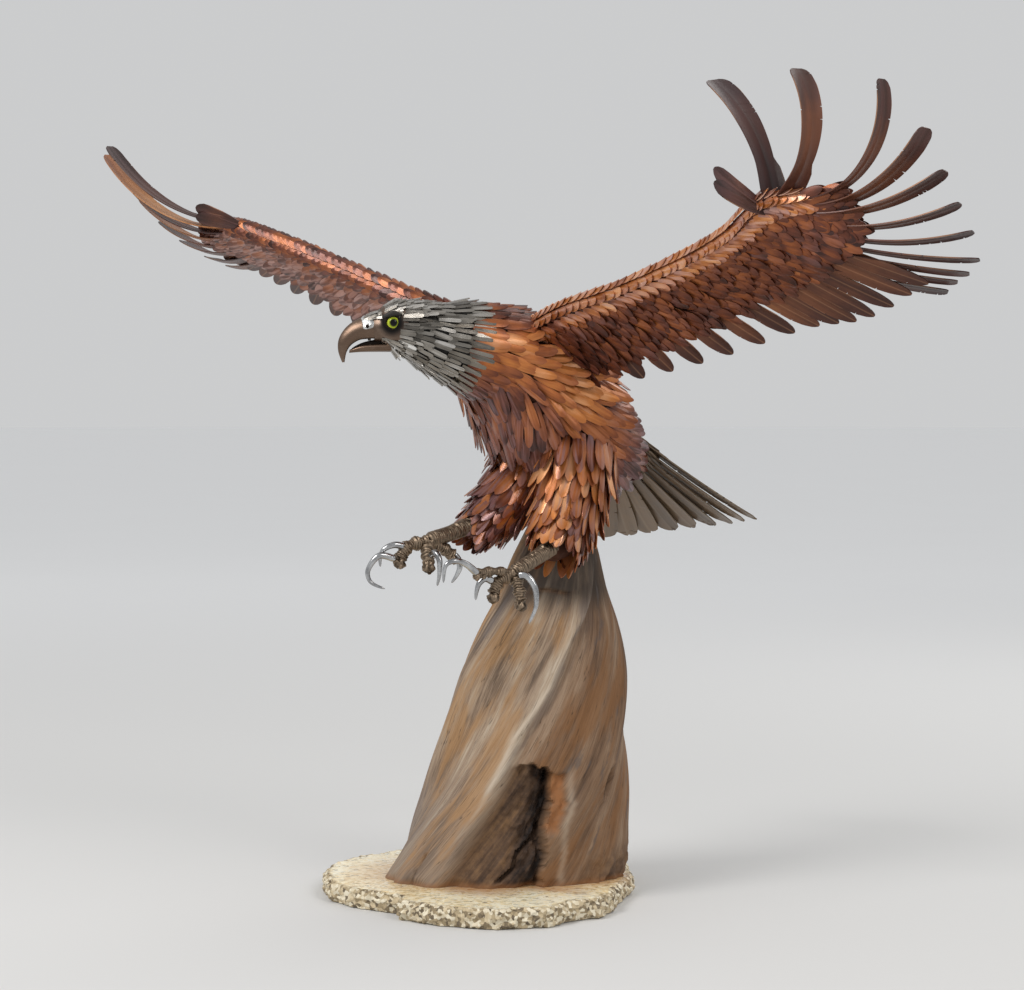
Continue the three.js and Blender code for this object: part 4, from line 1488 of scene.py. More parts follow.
BODY_ROWS: tuple[Row, ...] = (
    (31, -19.2, 829.6, 62, 66), (37, 24, 811, 86, 80), (44, 66, 784, 101, 96), (50, 108, 750, 104, 100),
    (55, 152, 715, 98, 90), (60, 195, 688, 84, 74), (64, 236, 672, 60, 52), (67, 268, 665, 38, 28),
)


HOOD_ROWS: tuple[Row, ...] = (
    (-47, -165, 867, 22, 25), (-36, -153, 868, 30, 34), (-16, -131, 863, 38, 42), (2, -101, 852, 46, 52),
    (17, -62, 842, 57, 63), (30.5, -21.6, 830.8, 65, 70),
)


@dataclass
class Torso(SubAssembly):
    """The breast, the flanks and the two feathered thighs."""

    body: tuple[Row, ...] = BODY_ROWS
    right_thigh: tuple[Row, ...] = (
        (34, 116, 700, 50, 60), (25, 84, 640, 42, 46), (7, 38, 590, 34, 34), (-6, 6, 560, 19, 19),
    )
    left_thigh: tuple[Row, ...] = (
        (104, 118, 690, 54, 68), (112, 90, 622, 46, 56), (120, 50, 562, 36, 42), (125, 18, 532, 19, 19),
    )

    def body_tone(self, t: float, from_back: float, spot: np.ndarray) -> Tone:
        """Bright orange on the flank, painted shade under the wing, purple-brown on the breast."""
        flank = bump(from_back, 84, 50) * bump(t, 0.22, 0.38)
        breast = smooth(from_back, 112, 150)
        rear = rising(t, 0.42, 0.72)
        # Painted shade: the side just under the raised wing is darkened.
        wing_shade = bump(from_back, 35, 40) * bump(t, 0.15, 0.3)
        value = 0.43 + 0.38 * flank - 0.08 * breast - 0.26 * wing_shade - 0.15 * rear
        value += self.draw.gauss(0, 0.14)
        bloom_and_sheen = 0.42 * float(breast) + 0.45 * rear + 0.02 + self.draw.uniform(-0.15, 0.25)
        return Tone.held(value, bloom_and_sheen, 0.03)

    def thigh_tone(self, bright: float, bloom_and_sheen: float) -> Callable[[float, float, np.ndarray], Tone]:
        """One thigh's colours."""
        gauss = self.draw.gauss
        return lambda t, s, spot: Tone.held(bright + gauss(0, 0.19), bloom_and_sheen + gauss(0, 0.3), 0.03)

    def build(self) -> None:
        """Builds the cores and the feathers."""
        limbs = {"body": Limb(self.body), "right": Limb(self.right_thigh), "left": Limb(self.left_thigh)}
        cores = [core(f"{name}_core_form", limb, 3.5) for name, limb in limbs.items()]
        self.dress(Bench.joined("torso_core", cores), self.finishes.under_copper, Slot.COPPER, "body")
        tongues = self.blanks(TONGUE, 2, 8, 1)
        leaves = self.blanks(LEAF, 2, 8, 1)
        bed = Bed()
        collar = Plumage(
            Limb(HOOD_ROWS), 12, 9.5, (50, 54), 13, lift=0.16, curl=0.07, cup=0.15, start=0.77, end=1.0,
            sink=3, vary=0.12, splay=4,
        )
        collar.lay(bed, tongues, self.draw, lambda t, s: 0.0, lambda t, s, spot: self.body_tone(0.1, s, spot))
        rows = Plumage(
            limbs["body"], 21, 10.8, (52, 60), 12.8, lift=0.27, curl=0.06, cup=0.18, sink=2, vary=0.16,
            splay=6,
        )
        rows.lay(
            bed, tongues, self.draw, lambda t, s: 22 * bump(s, 75, 45) - 36 * bump(s, 140, 34), self.body_tone
        )
        self.dress(bed.build("torso_feathers"), self.finishes.copper, Slot.COPPER)
        for side, bright, bloom_and_sheen, end in (("right", 0.48, 0.85, 0.86), ("left", 0.70, 0.42, 0.67)):
            bed = Bed()
            coat = Plumage(
                limbs[side], 20, 13.0, (60, 36), 17, lift=0.34, curl=0.05, cup=0.16, end=end, splay=9,
                vary=0.15,
            )
            coat.lay(bed, leaves, self.draw, lambda t, s: 0.0, self.thigh_tone(bright, bloom_and_sheen))
            skirt = Plumage(
                limbs[side], 14, 12, (58, 42), 15, lift=0.20, curl=0.0, cup=0.16, start=0.45, end=end - 0.07
            )
            skirt.lay(bed, leaves, self.draw, lambda t, s: 0.0, self.thigh_tone(bright - 0.12, bloom_and_sheen))
            self.dress(bed.build(f"{side}_thigh_feathers"), self.finishes.copper, Slot.COPPER)


HEADING = np.array((-0.7, -0.714, 0.0))


@dataclass
class BeakForm:
    """Half of the beak: x, y, z, half width, half depth and tilt at each station."""

    rows: tuple[Row, ...]
    keel: float = 0.0

    def __post_init__(self) -> None:
        """Reads the stations once."""
        self.stations = Stations(self.rows)
        self.sideways = unit(np.cross(UP, HEADING))

    def point(self, angle: float, t: float, proud: float = 0.0) -> np.ndarray:
        """A point of the surface, in metres.

        Args:
            angle: Radians round the section, a quarter turn at the ridge.
            t: Share of the way to the tip.
            proud: Millimetres outside the surface.

        Returns:
            The point.
        """
        x, y, z, across, deep, tilt = self.stations.at(t)
        upwards = UP * math.cos(math.radians(tilt)) + HEADING * math.sin(math.radians(tilt))
        pinch = 1 - self.keel * max(0.0, math.sin(angle)) ** 1.5
        wide = (across + proud) * math.cos(angle) * pinch
        high = (deep + proud) * math.sin(angle)
        return (np.array((x, y, z)) + self.sideways * wide + upwards * high) * MM


@dataclass
class Head(SubAssembly):
    """The hood of narrow grey strips, the eyes, the cere and the open beak."""

    hood: tuple[Row, ...] = HOOD_ROWS
    forehead: tuple[Row, ...] = (
        (-64, -181, 868, 11, 13), (-54, -172, 869, 16, 19), (-44, -161, 868, 24, 28),
        (-36, -153, 868, 29, 33),
    )
    upper: tuple[Row, ...] = (
        (-44, -162, 866, 19, 21, 0), (-61, -178, 863, 15.5, 18.5, 14), (-74, -190, 857, 12, 15, 34),
        (-83, -199, 845, 8.5, 11, 58), (-86, -202.8, 831, 5.2, 6.5, 78), (-85, -202, 815, 1.6, 1.8, 92),
    )
    lower: tuple[Row, ...] = (
        (-34, -153, 837, 14, 7, -10), (-52, -169, 836.5, 11.5, 6.4, -6), (-68, -184, 835, 8, 5.2, -4),
        (-79.5, -195, 831, 3, 2.4, -8),
    )
    eye_radius: float = 10.0
    eye_along: float = 0.2
    eye_sink: float = 5.0
    eye_height: float = 0.12

    def hood_tone(self, t: float, from_back: float, spot: np.ndarray) -> Tone:
        """Grey above, olive-brown on the throat, bright over the brow, with painted shade round and behind
        the eye.
        """
        throat = rising(from_back, 105, 140)
        # Painted shade: the strips round and behind the eye are darkened, carrying on the face plate's shade.
        eye_shade = bump(t, 0.3, 0.14) * bump(from_back, 88, 34)
        value = 0.52 + 0.18 * falling(t, 0.1, 0.5) - 0.32 * eye_shade + self.draw.gauss(0, 0.16)
        bloom_and_sheen = 0.85 * throat + 0.35 * rising(t, 0.5, 0.7) + self.draw.gauss(0.0, 0.15)
        return Tone.held(value, bloom_and_sheen, 0.03)

    def eye_centre(self, side: int) -> tuple[np.ndarray, np.ndarray]:
        """Where an eye is and the way it looks.

        Args:
            side: 1 or -1 along the head's sideways direction.

        Returns:
            The centre in metres and a unit vector.
        """
        f = Limb(self.hood).frame(self.eye_along)
        out = f.sideways * side
        return f.centre + out * (f.across - self.eye_sink * MM) + f.upwards * self.eye_height * f.deep, out

    def build_strips(self) -> None:
        """Builds the hood's inner form and its strips."""
        limb = Limb(self.hood)
        self.dress(core("hood_core", limb, 3.0), self.finishes.under_steel, Slot.GREY_STEEL, "head_hood")
        eyes = [self.eye_centre(side)[0] / MM for side in (-1, 1)]
        nose = np.array(self.upper[0][:3])

        def clear_of_face(t: float, s: float, spot: np.ndarray) -> bool:
            """No strip starts on an eye, on the bare metal before it, or inside the beak."""
            bare = (t < self.eye_along + 0.07 and 50 < s < 128) or (t < 0.09 and s < 72)
            return not bare and np.linalg.norm(spot - nose) > 12 and all(
                np.linalg.norm(spot - eye) > 14 for eye in eyes
            )

        bed = Bed()
        blanks = self.blanks(STRIP, 1, 5, 1)
        face = Plumage(limb, 9, 4.6, (20, 30), 4.4, 0.13, 0.04, 0.1, 0.0, 0.36, 0.5, 0.12, splay=5)
        face.lay(bed, blanks, self.draw, lambda t, s: 7 * bump(s, 90, 60), self.hood_tone, clear_of_face)
        neck = Plumage(limb, 15.0, 6.0, (26, 38), 5.8, 0.16, 0.05, 0.1, 0.28, 0.74, 1.0, 0.12, splay=4)
        neck.lay(bed, blanks, self.draw, lambda t, s: 0.0, self.hood_tone, clear_of_face)
        forehead = Limb(self.forehead)
        brow = Plumage(forehead, 5, 4.2, (15, 17), 4.2, 0.16, 0.26, 0.1, 0.0, 1.0, 0.8, 0.12, splay=4)
        brow.lay(bed, blanks, self.draw, lambda t, s: 0.0, self.hood_tone, lambda t, s, spot: s < 58 + 12 * t)
        self.dress(bed.build("hood_strips"), self.finishes.strips, Slot.GREY_STEEL)

    def build_face(self) -> None:
        """Builds the bare satin metal between the beak and the eyes, dark round each eye."""
        limb = Limb(self.hood)
        reach = self.eye_along + 0.14
        eyes = [self.eye_centre(side)[0] for side in (-1, 1)]

        upper = BeakForm(self.upper, 0.3)

        def skin(angle: float, t: float) -> np.ndarray:
            """Runs from the root of the beak back into the hood, sunk a little round the eyes."""
            ahead = upper.point(math.pi - angle, 0.13 * (1 - rising(t, 0.0, 0.45)), 0.7 - 2.0 * (t < 0.02))
            closing = -3.0 * rising(t, 0.92, 1.0) + 0.3
            spot = limb.skin(reach * max(0.0, (t - 0.25) / 0.75), angle, closing * MM)
            share = rising(t, 0.08, 0.55)
            return ahead * (1 - share) + spot * share

        def shade(angle: float, t: float) -> float:
            """Dark close to an eye."""
            near = min(float(np.linalg.norm(skin(angle, t) - eye)) for eye in eyes) / MM
            return falling(near, 13.0, 25.0)

        face = Bench.wrapped("face_plate", 72, 44, skin, {"shade": shade})
        self.dress(face, self.finishes.face, Slot.BEAK)

    def build_eyes(self) -> None:
        """Builds the glass eyes, their sockets of near-black painted shade and the brows."""
        for side, name in ((1, "eye_right"), (-1, "eye_left")):
            centre, out = self.eye_centre(side)
            eye = Bench.blob(centre, [self.eye_radius * MM] * 3, 5)
            eye.name = f"{name}_glass"
            spots = Bench.points(eye) - centre
            away = np.arccos(np.clip(spots @ out / np.linalg.norm(spots, axis=1), -1, 1)) / (math.pi / 2)
            Bench.mark(eye.data, "gaze", away)
            Bench.soften(eye, 80)
            self.dress(eye, self.finishes.eye, Slot.EYE, name)
            rim = centre + out * 3.5 * MM
            level = unit(HEADING - out * float(HEADING @ out))
            climb = np.cross(out, level)
            climb = climb * (1 if climb[2] > 0 else -1)

            def lid(angle: float, t: float, rim: np.ndarray = rim, out: np.ndarray = out) -> np.ndarray:
                """A soft ring round the eye, pinched at its front corner."""
                turn = 2 * math.pi * t
                wide = 10.6 + 1.6 * max(0.0, math.cos(turn)) ** 3 + 2.0 * math.cos(angle)
                tall = 9.6 + 2.0 * math.cos(angle)
                spot = level * wide * math.cos(turn) + climb * tall * math.sin(turn)
                return rim + MM * (spot + out * (2.3 * math.sin(angle) + 0.8))

            # The socket ring is near-black: painted shade round the eye.
            socket = self.ring(f"{name}_socket", 12, 44, lid)
            self.dress(socket, self.finishes.mouth, Slot.GREY_STEEL)
            start = centre + MM * (out * 4 + level * 15 + climb * 8)
            middle = centre + MM * (out * 7 + level * 1 + climb * 13)
            finish = centre + MM * (out * 4 - level * 15 + climb * 11)
            brow = Rod((start, middle, finish), (2.4, 4.4, 1.6)).build(f"{name}_brow", 10, 24)
            self.dress(brow, self.finishes.under_steel, Slot.GREY_STEEL)

    @staticmethod
    def ring(name: str, around: int, along: int, where: Surface) -> bpy.types.Object:
        """A closed ring, from a torus whose points are placed.

        Args:
            name: The piece's name.
            around: Faces round its section.
            along: Faces round the ring.
            where: Gives the point for an angle of the section and a share of the ring.

        Returns:
            The piece.
        """
        Bench.clear()
        bpy.ops.mesh.primitive_torus_add(
            major_segments=along, minor_segments=around, major_radius=1.0, minor_radius=0.25
        )
        piece = bpy.context.object
        piece.name = piece.data.name = name
        placed = []
        for x, y, z in Bench.points(piece):
            share = (math.atan2(y, x) / (2 * math.pi)) % 1.0
            placed.append(where(math.atan2(z, math.hypot(x, y) - 1.0), share))
        Bench.place(piece, np.array(placed))
        Bench.tidy(piece)
        Bench.soften(piece, 60)
        return piece

    def build_beak(self) -> None:
        """Builds both halves of the beak, the cere, the nostrils, the gape and the mouth's lining, the last
        three in near-black painted shade.
        """
        upper, lower = BeakForm(self.upper, 0.3), BeakForm(self.lower, -0.1)

        def roof(angle: float, t: float) -> np.ndarray:
            """The upper half, its underside drawn up between its cutting edges."""
            spot = upper.point(angle, t)
            hollow = max(0.0, -math.sin(angle)) ** 10 * (1 - t) * 0.5
            return spot + UP * hollow * upper.stations.at(t)[4] * MM

        horn = Bench.wrapped("beak_upper_horn", 48, 60, roof, degrees=70)
        self.dress(horn, self.finishes.beak, Slot.BEAK, "beak_upper")
        floor = Bench.wrapped(
            "beak_lower_horn", 32, 34,
            lambda a, t: lower.point(a, t) - UP * max(0.0, math.sin(a)) ** 10 * (1 - t) * 4 * MM, degrees=70,
        )
        self.dress(floor, self.finishes.beak, Slot.BEAK, "beak_lower")

        def wax(angle: float, t: float) -> np.ndarray:
            """The cere, a bright melted saddle over the root of the upper half, ragged at its rim."""
            side = math.sin(angle)
            saddle = rising(side, -0.15, 0.15)
            ragged = noise.noise(Vector((math.cos(angle) * 3, side * 3, 2.0)))
            middle = 0.185 - 0.02 * side
            reach = (0.072 + 0.022 * ragged) * (0.35 + 0.65 * saddle)
            swell = math.sqrt(max(0.0, 1 - (2 * t - 1) ** 2))
            lump = 0.6 * noise.noise(Vector((math.cos(angle) * 4, side * 4, t * 5)))
            proud = -1.6 + saddle * (0.9 + (2.4 + lump) * swell)
            return upper.point(angle, middle + reach * (2 * t - 1), proud)

        cere = Bench.wrapped("cere_silver", 56, 18, wax)
        self.dress(cere, self.finishes.cere, Slot.BEAK)
        # The nostrils are black blobs: painted shade for the holes.
        nostrils = []
        for side in (0.0, math.pi):
            near = upper.point(side + (0.20 if side == 0.0 else -0.20), 0.19, 0.9)
            nostrils.append(Bench.blob(near, (2.6 * MM, 2.6 * MM, 3.0 * MM), 3))
        self.dress(Bench.joined("nostrils", nostrils), self.finishes.mouth, Slot.BEAK)
        # The gape and the mouth's lining are near-black: painted shade in the open mouth.
        corner = np.array((-37.0, -154.0, 847.0)) * MM
        gape = Bench.blob(corner, (17 * MM, 18 * MM, 5.5 * MM), 3)
        gape.name = "gape"
        Bench.soften(gape, 60)
        self.dress(gape, self.finishes.mouth, Slot.BEAK)
        route = ((-34, -152, 845), (-50, -167, 843.5), (-66, -182, 840), (-78, -193.5, 833))
        path = [np.array(spot) * MM for spot in route]
        lining = Rod(path, (6.0, 5.4, 3.8, 1.6)).build("mouth_lining", 14, 30)
        self.dress(lining, self.finishes.mouth, Slot.BEAK)
        lumps = []
        for i in range(6):
            spot = np.array((-25 - 1.6 * i, -142 - 1.6 * i, 841 - 1.2 * i)) * MM
            for side in (-1, 1):
                shift = 19.5 * MM * side * unit(np.cross(UP, HEADING))
                lumps.append(Bench.blob(spot + shift, [self.near(2.6, 0.25) * MM] * 3, 2))
        joined = Bench.joined("gape_weld", lumps)
        Bench.soften(joined, 60)
        self.dress(joined, self.finishes.cere, Slot.BEAK)

    def build(self) -> None:
        """Builds the head."""
        self.build_strips()
        self.build_face()
        self.build_eyes()
        self.build_beak()


@dataclass
class Rod:
    """A round bar bent through points, with a radius at each of them; points in metres, radii in mm."""

    points: Sequence[np.ndarray]
    radii: Sequence[float] | Callable[[float], float]
    beads: float = 0.0
    bead_pitch: float = 4.5
    seed: float = 0.0
    groove: float = 0.0

    def __post_init__(self) -> None:
        """Prepares the curve and frames that don't twist along it."""
        rows = [tuple(p) for p in self.points]
        self.path = Stations(rows)
        steps = 80
        spots = np.array([self.path.at(i / steps) for i in range(steps + 1)])
        lengths = np.concatenate(((0.0,), np.cumsum(np.linalg.norm(np.diff(spots, axis=0), axis=1))))
        self.total = float(lengths[-1])
        even = np.linspace(0, self.total, steps + 1)
        self.spots = np.stack([np.interp(even, lengths, spots[:, k]) for k in range(3)], axis=1)
        tangents = np.gradient(self.spots, axis=0)
        self.tangents = tangents / np.linalg.norm(tangents, axis=1)[:, None]
        first = np.cross(self.tangents[0], UP if abs(self.tangents[0][2]) < 0.9 else np.array((1.0, 0, 0)))
        normals = [unit(first)]
        for tangent in self.tangents[1:]:
            normals.append(unit(normals[-1] - tangent * float(normals[-1] @ tangent)))
        self.normals = np.array(normals)
        self.steps = steps
        self.known: dict[float, tuple[np.ndarray, ...]] = {}

    def radius(self, t: float) -> float:
        """The radius at a share of the length."""
        if callable(self.radii):
            return self.radii(t)
        return float(np.interp(t, np.linspace(0, 1, len(self.radii)), self.radii))

    def crest(self, angle: float, t: float) -> float:
        """How high a point stands on its weld bead, from 0 to 1."""
        along = t * self.total / (self.bead_pitch * MM)
        wobble = 0.6 * noise.noise(Vector((math.cos(angle), math.sin(angle), along * 0.6 + self.seed)))
        return abs(math.sin(math.pi * (along + angle / (2 * math.pi) + wobble)))

    def point(self, angle: float, t: float) -> np.ndarray:
        """A point of the surface, in metres."""
        if t not in self.known:
            place = min(t, 1.0) * self.steps
            index = min(int(place), self.steps - 1)
            f = place - index
            tables = (self.spots, self.tangents, self.normals)
            spot, tangent, normal = (table[index] * (1 - f) + table[index + 1] * f for table in tables)
            tangent = unit(tangent)
            normal = unit(normal - tangent * float(normal @ tangent))
            self.known[t] = spot, normal, np.cross(tangent, normal)
        spot, normal, other = self.known[t]
        size = self.radius(t) * (1 + self.beads * (self.crest(angle, t) - 0.6))
        if self.groove:
            size *= 1 - self.groove * bump(abs((math.degrees(angle) - 180) % 360 - 180), 0, 50)
        rounding = min(1.0, t * 14, (1 - t) * 14)
        size *= math.sqrt(max(0.02, 1 - (1 - rounding) ** 2))
        return spot + MM * size * (normal * math.cos(angle) + other * math.sin(angle))

    def build(self, name: str, around: int, along: int) -> bpy.types.Object:
        """Builds the bar, with how high each point stands on its bead."""
        return Bench.wrapped(name, around, along, self.point, {"bead": self.crest})


@dataclass
class WingFrame:
    """Where a wing is at one station, in metres, with its sizes in millimetres."""

    edge: np.ndarray
    span: np.ndarray
    run: np.ndarray
    outward: np.ndarray
    coverts: float
    thick: float
    fan: float
    fall: float
    length: float


@dataclass
class WingPlan:
    """The sizes of one wing, as a maker would set it out."""

    name: str
    side: int
    rows: tuple[Row, ...]
    primaries: tuple[Row, ...]
    alula: Row
    secondaries: tuple[int, float, float, float, float]

    def __post_init__(self) -> None:
        """Reads the stations once."""
        self.stations = Stations(self.rows)

    def frame(self, t: float) -> WingFrame:
        """The wing at a share of its span."""
        x, y, z, rake, droop, coverts, thick, fan, fall, length = self.stations.at(t)
        step = self.stations.at(t + 0.02)[:3] - self.stations.at(t - 0.02)[:3]
        span, run = unit(step), heading(self.side, rake, -droop)
        outward = unit(np.cross(span, run)) * self.side
        return WingFrame(np.array((x, y, z)) * MM, span, run, outward, coverts, thick, fan, fall, length)

    def flank(self, t: float, back: float, face: int, proud: float = 0.0) -> np.ndarray:
        """A point of the wing's arm.

        Args:
            t: Share of the span.
            back: Share of the coverts' reach.
            face: 1 for the upper face and -1 for the lower one.
            proud: Millimetres outside the arm.

        Returns:
            The point, in metres.
        """
        f = self.frame(t)
        round_edge = math.sqrt(min(1.0, max(0.0, back) / 0.12))
        high = 0.46 * f.thick * (1 - 0.75 * back) * round_edge
        return f.edge + MM * (f.run * back * f.coverts + f.outward * face * (high + proud))

    def normal(self, t: float, back: float, face: int) -> np.ndarray:
        """The outward normal of the arm there."""
        along = self.flank(min(t + 0.02, 1.0), back, face) - self.flank(max(t - 0.02, 0.0), back, face)
        down = self.flank(t, min(back + 0.05, 1.0), face) - self.flank(t, max(back - 0.05, 0.06), face)
        out = unit(np.cross(along, down))
        return out if float(out @ self.frame(t).outward) * face > 0 else -out

    def span(self) -> float:
        """The length of the leading edge, in millimetres."""
        points = [self.frame(i / 30).edge / MM for i in range(31)]
        return sum(float(np.linalg.norm(b - a)) for a, b in zip(points, points[1:]))


@dataclass
class Wing(SubAssembly):
    """One raised wing: arm, coverts, secondaries, primaries and alula."""

    plan: WingPlan
    under_tone: float = 0.3
    upper_tone: float = 0.3
    under_bloom_and_sheen: float = 0.1
    spacing: float = 11.0
    rows_of_coverts: int = 8
    swing: float = 38.0
    shiny: bool = False
    edge_tone: float = 0.78
    breadth: float = 1.0
    turns: tuple[float, ...] = (12.0, 4.0, 0.0)
    trim: float = 0.985
    finger_tone: float = 0.42
    lit_tone: float = 0.85
    lit: tuple[int, ...] = (1, 3)

    @property
    def metal(self) -> bpy.types.Material:
        """The copper of this wing's small feathers; the shiny wing's carries the painted pink highlight."""
        return self.finishes.bright if self.shiny else self.finishes.copper

    def build_arm(self) -> None:
        """Builds the dark inner arm."""
        plan = self.plan

        def skin(angle: float, t: float) -> np.ndarray:
            """The arm's surface, a few millimetres inside the coverts."""
            back = 0.01 + 0.94 * (0.5 - 0.5 * math.cos(angle))
            face = 1 if math.sin(angle) >= 0 else -1
            closing = min(1.0, abs(math.sin(angle)) * 3)
            f = plan.frame(t)
            middle = f.edge + MM * f.run * back * f.coverts
            return middle + (plan.flank(t, back, face, -2.2) - middle) * closing

        arm = Bench.wrapped(f"{plan.name}_wing_arm", 32, 48, skin)
        self.dress(arm, self.finishes.under_copper, Slot.COPPER, f"{plan.name}_wing")

    def build_coverts(self) -> None:
        """Builds the rows of coverts on both faces."""
        plan, draw = self.plan, self.draw
        small = self.blanks(LEAF, 2, 7, 2) + self.blanks(TONGUE, 2, 6, 1)
        count_per_row = round(plan.span() / self.spacing)
        for face, label in ((1, "upper"), (-1, "under")):
            bed = Bed()
            base = self.upper_tone if face == 1 else self.under_tone
            for row in range(self.rows_of_coverts, -1, -1):
                back = 0.05 + 0.80 * row / self.rows_of_coverts
                for i in range(count_per_row):
                    t = (i + 0.5 * (row % 2) + draw.uniform(-0.2, 0.2)) / count_per_row
                    t = min(max(t, 0.0), 1.0)
                    f = plan.frame(t)
                    b = back + draw.uniform(-0.03, 0.03)
                    normal = plan.normal(t, b, face)
                    shoulder = falling(t, 0.1, 0.42)
                    swing = math.radians(self.swing + 20 * rising(t, 0.7, 1.0) + draw.gauss(0, 7))
                    way = f.run * math.cos(swing) + f.span * math.sin(swing)
                    length = (30 + 12 * back + 14 * shoulder) * draw.uniform(0.85, 1.15)
                    length *= min(1.0, 0.55 + f.coverts / 200)
                    value = base + 0.12 * (0.5 - back) - 0.06 * shoulder + draw.gauss(0, 0.09)
                    tone = Tone.held(value, self.under_bloom_and_sheen + draw.gauss(0, 0.15))
                    width = 1.32 * self.spacing + 1.5 * back
                    bed.lay(
                        draw.choice(small), plan.flank(t, b, face, -0.8), way, normal,
                        length * self.spacing / 11, width * draw.uniform(0.88, 1.12), tone,
                        0.2 * draw.uniform(0.7, 1.4), 0.09, 0.13,
                    )
            self.dress(bed.build(f"{plan.name}_{label}_coverts"), self.metal, Slot.COPPER)

    def build_greater_coverts(self) -> None:
        """Builds the long row that overlaps the flight feathers, and the fringe over the hand."""
        plan, draw = self.plan, self.draw
        long = self.blanks(LEAF, 2, 9, 2)
        bed = Bed()
        for face in (1, -1):
            count = round(plan.span() / 15)
            for i in range(count):
                t = min((i + 0.5) / count, 1.0)
                f = plan.frame(t)
                fan = heading(plan.side, f.fan, -f.fall)
                way = unit(f.run * 0.35 + fan * 0.55 + f.span * 0.25)
                length = min(56, 0.42 * f.length) * draw.uniform(0.88, 1.12)
                tone = Tone.held(self.under_tone + draw.gauss(0, 0.09), 0.1)
                bed.lay(
                    draw.choice(long), plan.flank(t, 0.74, face, -0.5), way, plan.normal(t, 0.74, face),
                    length, 18 * draw.uniform(0.9, 1.1), tone, 0.14, 0.08, 0.12,
                )
        tip = plan.frame(1.0)
        for face in (1, -1):
            for k in range(3):
                for i in range(9):
                    back = 0.08 + 0.84 * (i + 0.5 * (k % 2)) / 9
                    t = 0.93 + 0.035 * k
                    f = plan.frame(t)
                    fan = heading(plan.side, f.fan * back, -f.fall * back + 24 * (1 - back))
                    bed.lay(
                        draw.choice(long), plan.flank(t, back, face, -0.5), unit(fan * 0.8 + tip.span * 0.3),
                        plan.normal(t, back, face), 46 * draw.uniform(0.85, 1.2), 16 * draw.uniform(0.9, 1.1),
                        Tone.held(self.under_tone - 0.06 + draw.gauss(0, 0.1), 0.08), 0.14, 0.08, 0.12,
                    )
        self.dress(bed.build(f"{plan.name}_greater_coverts"), self.metal, Slot.COPPER)

    def build_leading_edge(self) -> None:
        """Builds the bright braided scales along the front of the arm, slanted to either side of it."""
        plan, draw = self.plan, self.draw
        scale = self.blanks(SCALE, 2, 7, 2)
        bed = Bed()
        count = round(plan.span() / 12)
        shine = 0.3 if self.shiny else 1.0
        bands = (
            (1, 0.15, 34, 0.0), (-1, 0.15, 34, 0.0), (1, 0.05, 12, 0.5), (-1, 0.05, 12, 0.5),
            (1, 0.0, 0, 0.25),
        )
        for face, back, slant, shift in bands:
            for i in range(count):
                t = min((i + shift) / count, 1.0)
                f = plan.frame(t)
                out = plan.normal(t, max(back, 0.08), face)
                if back < 0.1:
                    out = unit(out - f.run * 0.9) if back else -f.run
                down = f.run - out * float(f.run @ out)
                down = unit(down) if back else f.outward
                way = f.span * math.cos(math.radians(slant)) + down * math.sin(math.radians(slant))
                # On the near wing these scales take a high tone and the bright copper's pink bloom: partly
                # the leading edge's own orange, partly a painted highlight where the top edge catches light.
                value = self.edge_tone + draw.gauss(0, 0.13)
                tone = Tone.held(value, (0.3 + draw.uniform(0, 0.5)) * shine)
                bed.lay(
                    draw.choice(scale), plan.flank(t, back, face, 0.2), way, out,
                    30 * draw.uniform(0.9, 1.1), (15 if back else 17) * draw.uniform(0.9, 1.1), tone,
                    0.16, 0.04, 0.2,
                )
        metal = self.finishes.copper if self.shiny else self.finishes.bright
        self.dress(bed.build(f"{plan.name}_leading_edge"), metal, Slot.COPPER)

    def build_secondaries(self) -> None:
        """Builds the flight feathers of the arm."""
        plan, draw = self.plan, self.draw
        count, first, last, width, roll = plan.secondaries
        blanks = self.blanks(REMEX, 7, 22, 3)
        bed = Bed()
        for i in range(count):
            f = plan.frame(first + (last - first) * i / (count - 1))
            root = (f.edge + MM * f.run * 0.5 * f.coverts) / MM
            quill = Quill(plan.side, root, f.fan, -f.fall, 4, f.length, width, roll, 1.5, 0.8, 0.07)
            bed.fly(draw.choice(blanks), quill, Tone.held(0.44 + draw.gauss(0, 0.07), 0.05))
        self.dress(bed.build(f"{plan.name}_secondaries"), self.finishes.vane, Slot.DARK_COPPER)

    def build_primaries(self) -> None:
        """Builds each finger of the wing, in place of its solid."""
        plan, draw = self.plan, self.draw
        for i, (x, y, z, rake, rise, curl, length, width, roll) in enumerate(plan.primaries):
            bed = Bed()
            blank = Cutter.cut(FINGER, 7, 40, draw)
            quill = Quill(
                plan.side, np.array((x, y, z)), rake, rise, curl, length * self.trim, width * self.breadth,
                roll + self.turns[min(i, len(self.turns) - 1)], 1.7, 1.4, 0.06,
            )
            value = self.lit_tone if self.shiny and i in self.lit else self.finger_tone
            darker = 0.14 * (i == 0)
            bed.fly(blank, quill, Tone.held(value + draw.gauss(0, 0.05) - darker, 0.2))
            number = f"{plan.name}_primary_{i + 1:02d}"
            self.dress(bed.build(f"{number}_feather"), self.finishes.flight, Slot.DARK_COPPER, number)

    def build_alula(self) -> None:
        """Builds the two feathers of the thumb."""
        plan, draw = self.plan, self.draw
        x, y, z, rake, rise, length, width, roll = plan.alula
        bed = Bed()
        for k in range(2):
            quill = Quill(
                plan.side, np.array((x, y, z)), rake + 6 * k, rise - 12 * k, 10, length * (1 - 0.06 * k),
                width, roll,
            )
            bed.fly(Cutter.cut(TONGUE, 7, 16, draw), quill, Tone.held(0.36 + draw.gauss(0, 0.06), 0.3))
        thumb = bed.build(f"{plan.name}_alula_feathers")
        self.dress(thumb, self.finishes.flight, Slot.DARK_COPPER, f"{plan.name}_alula")

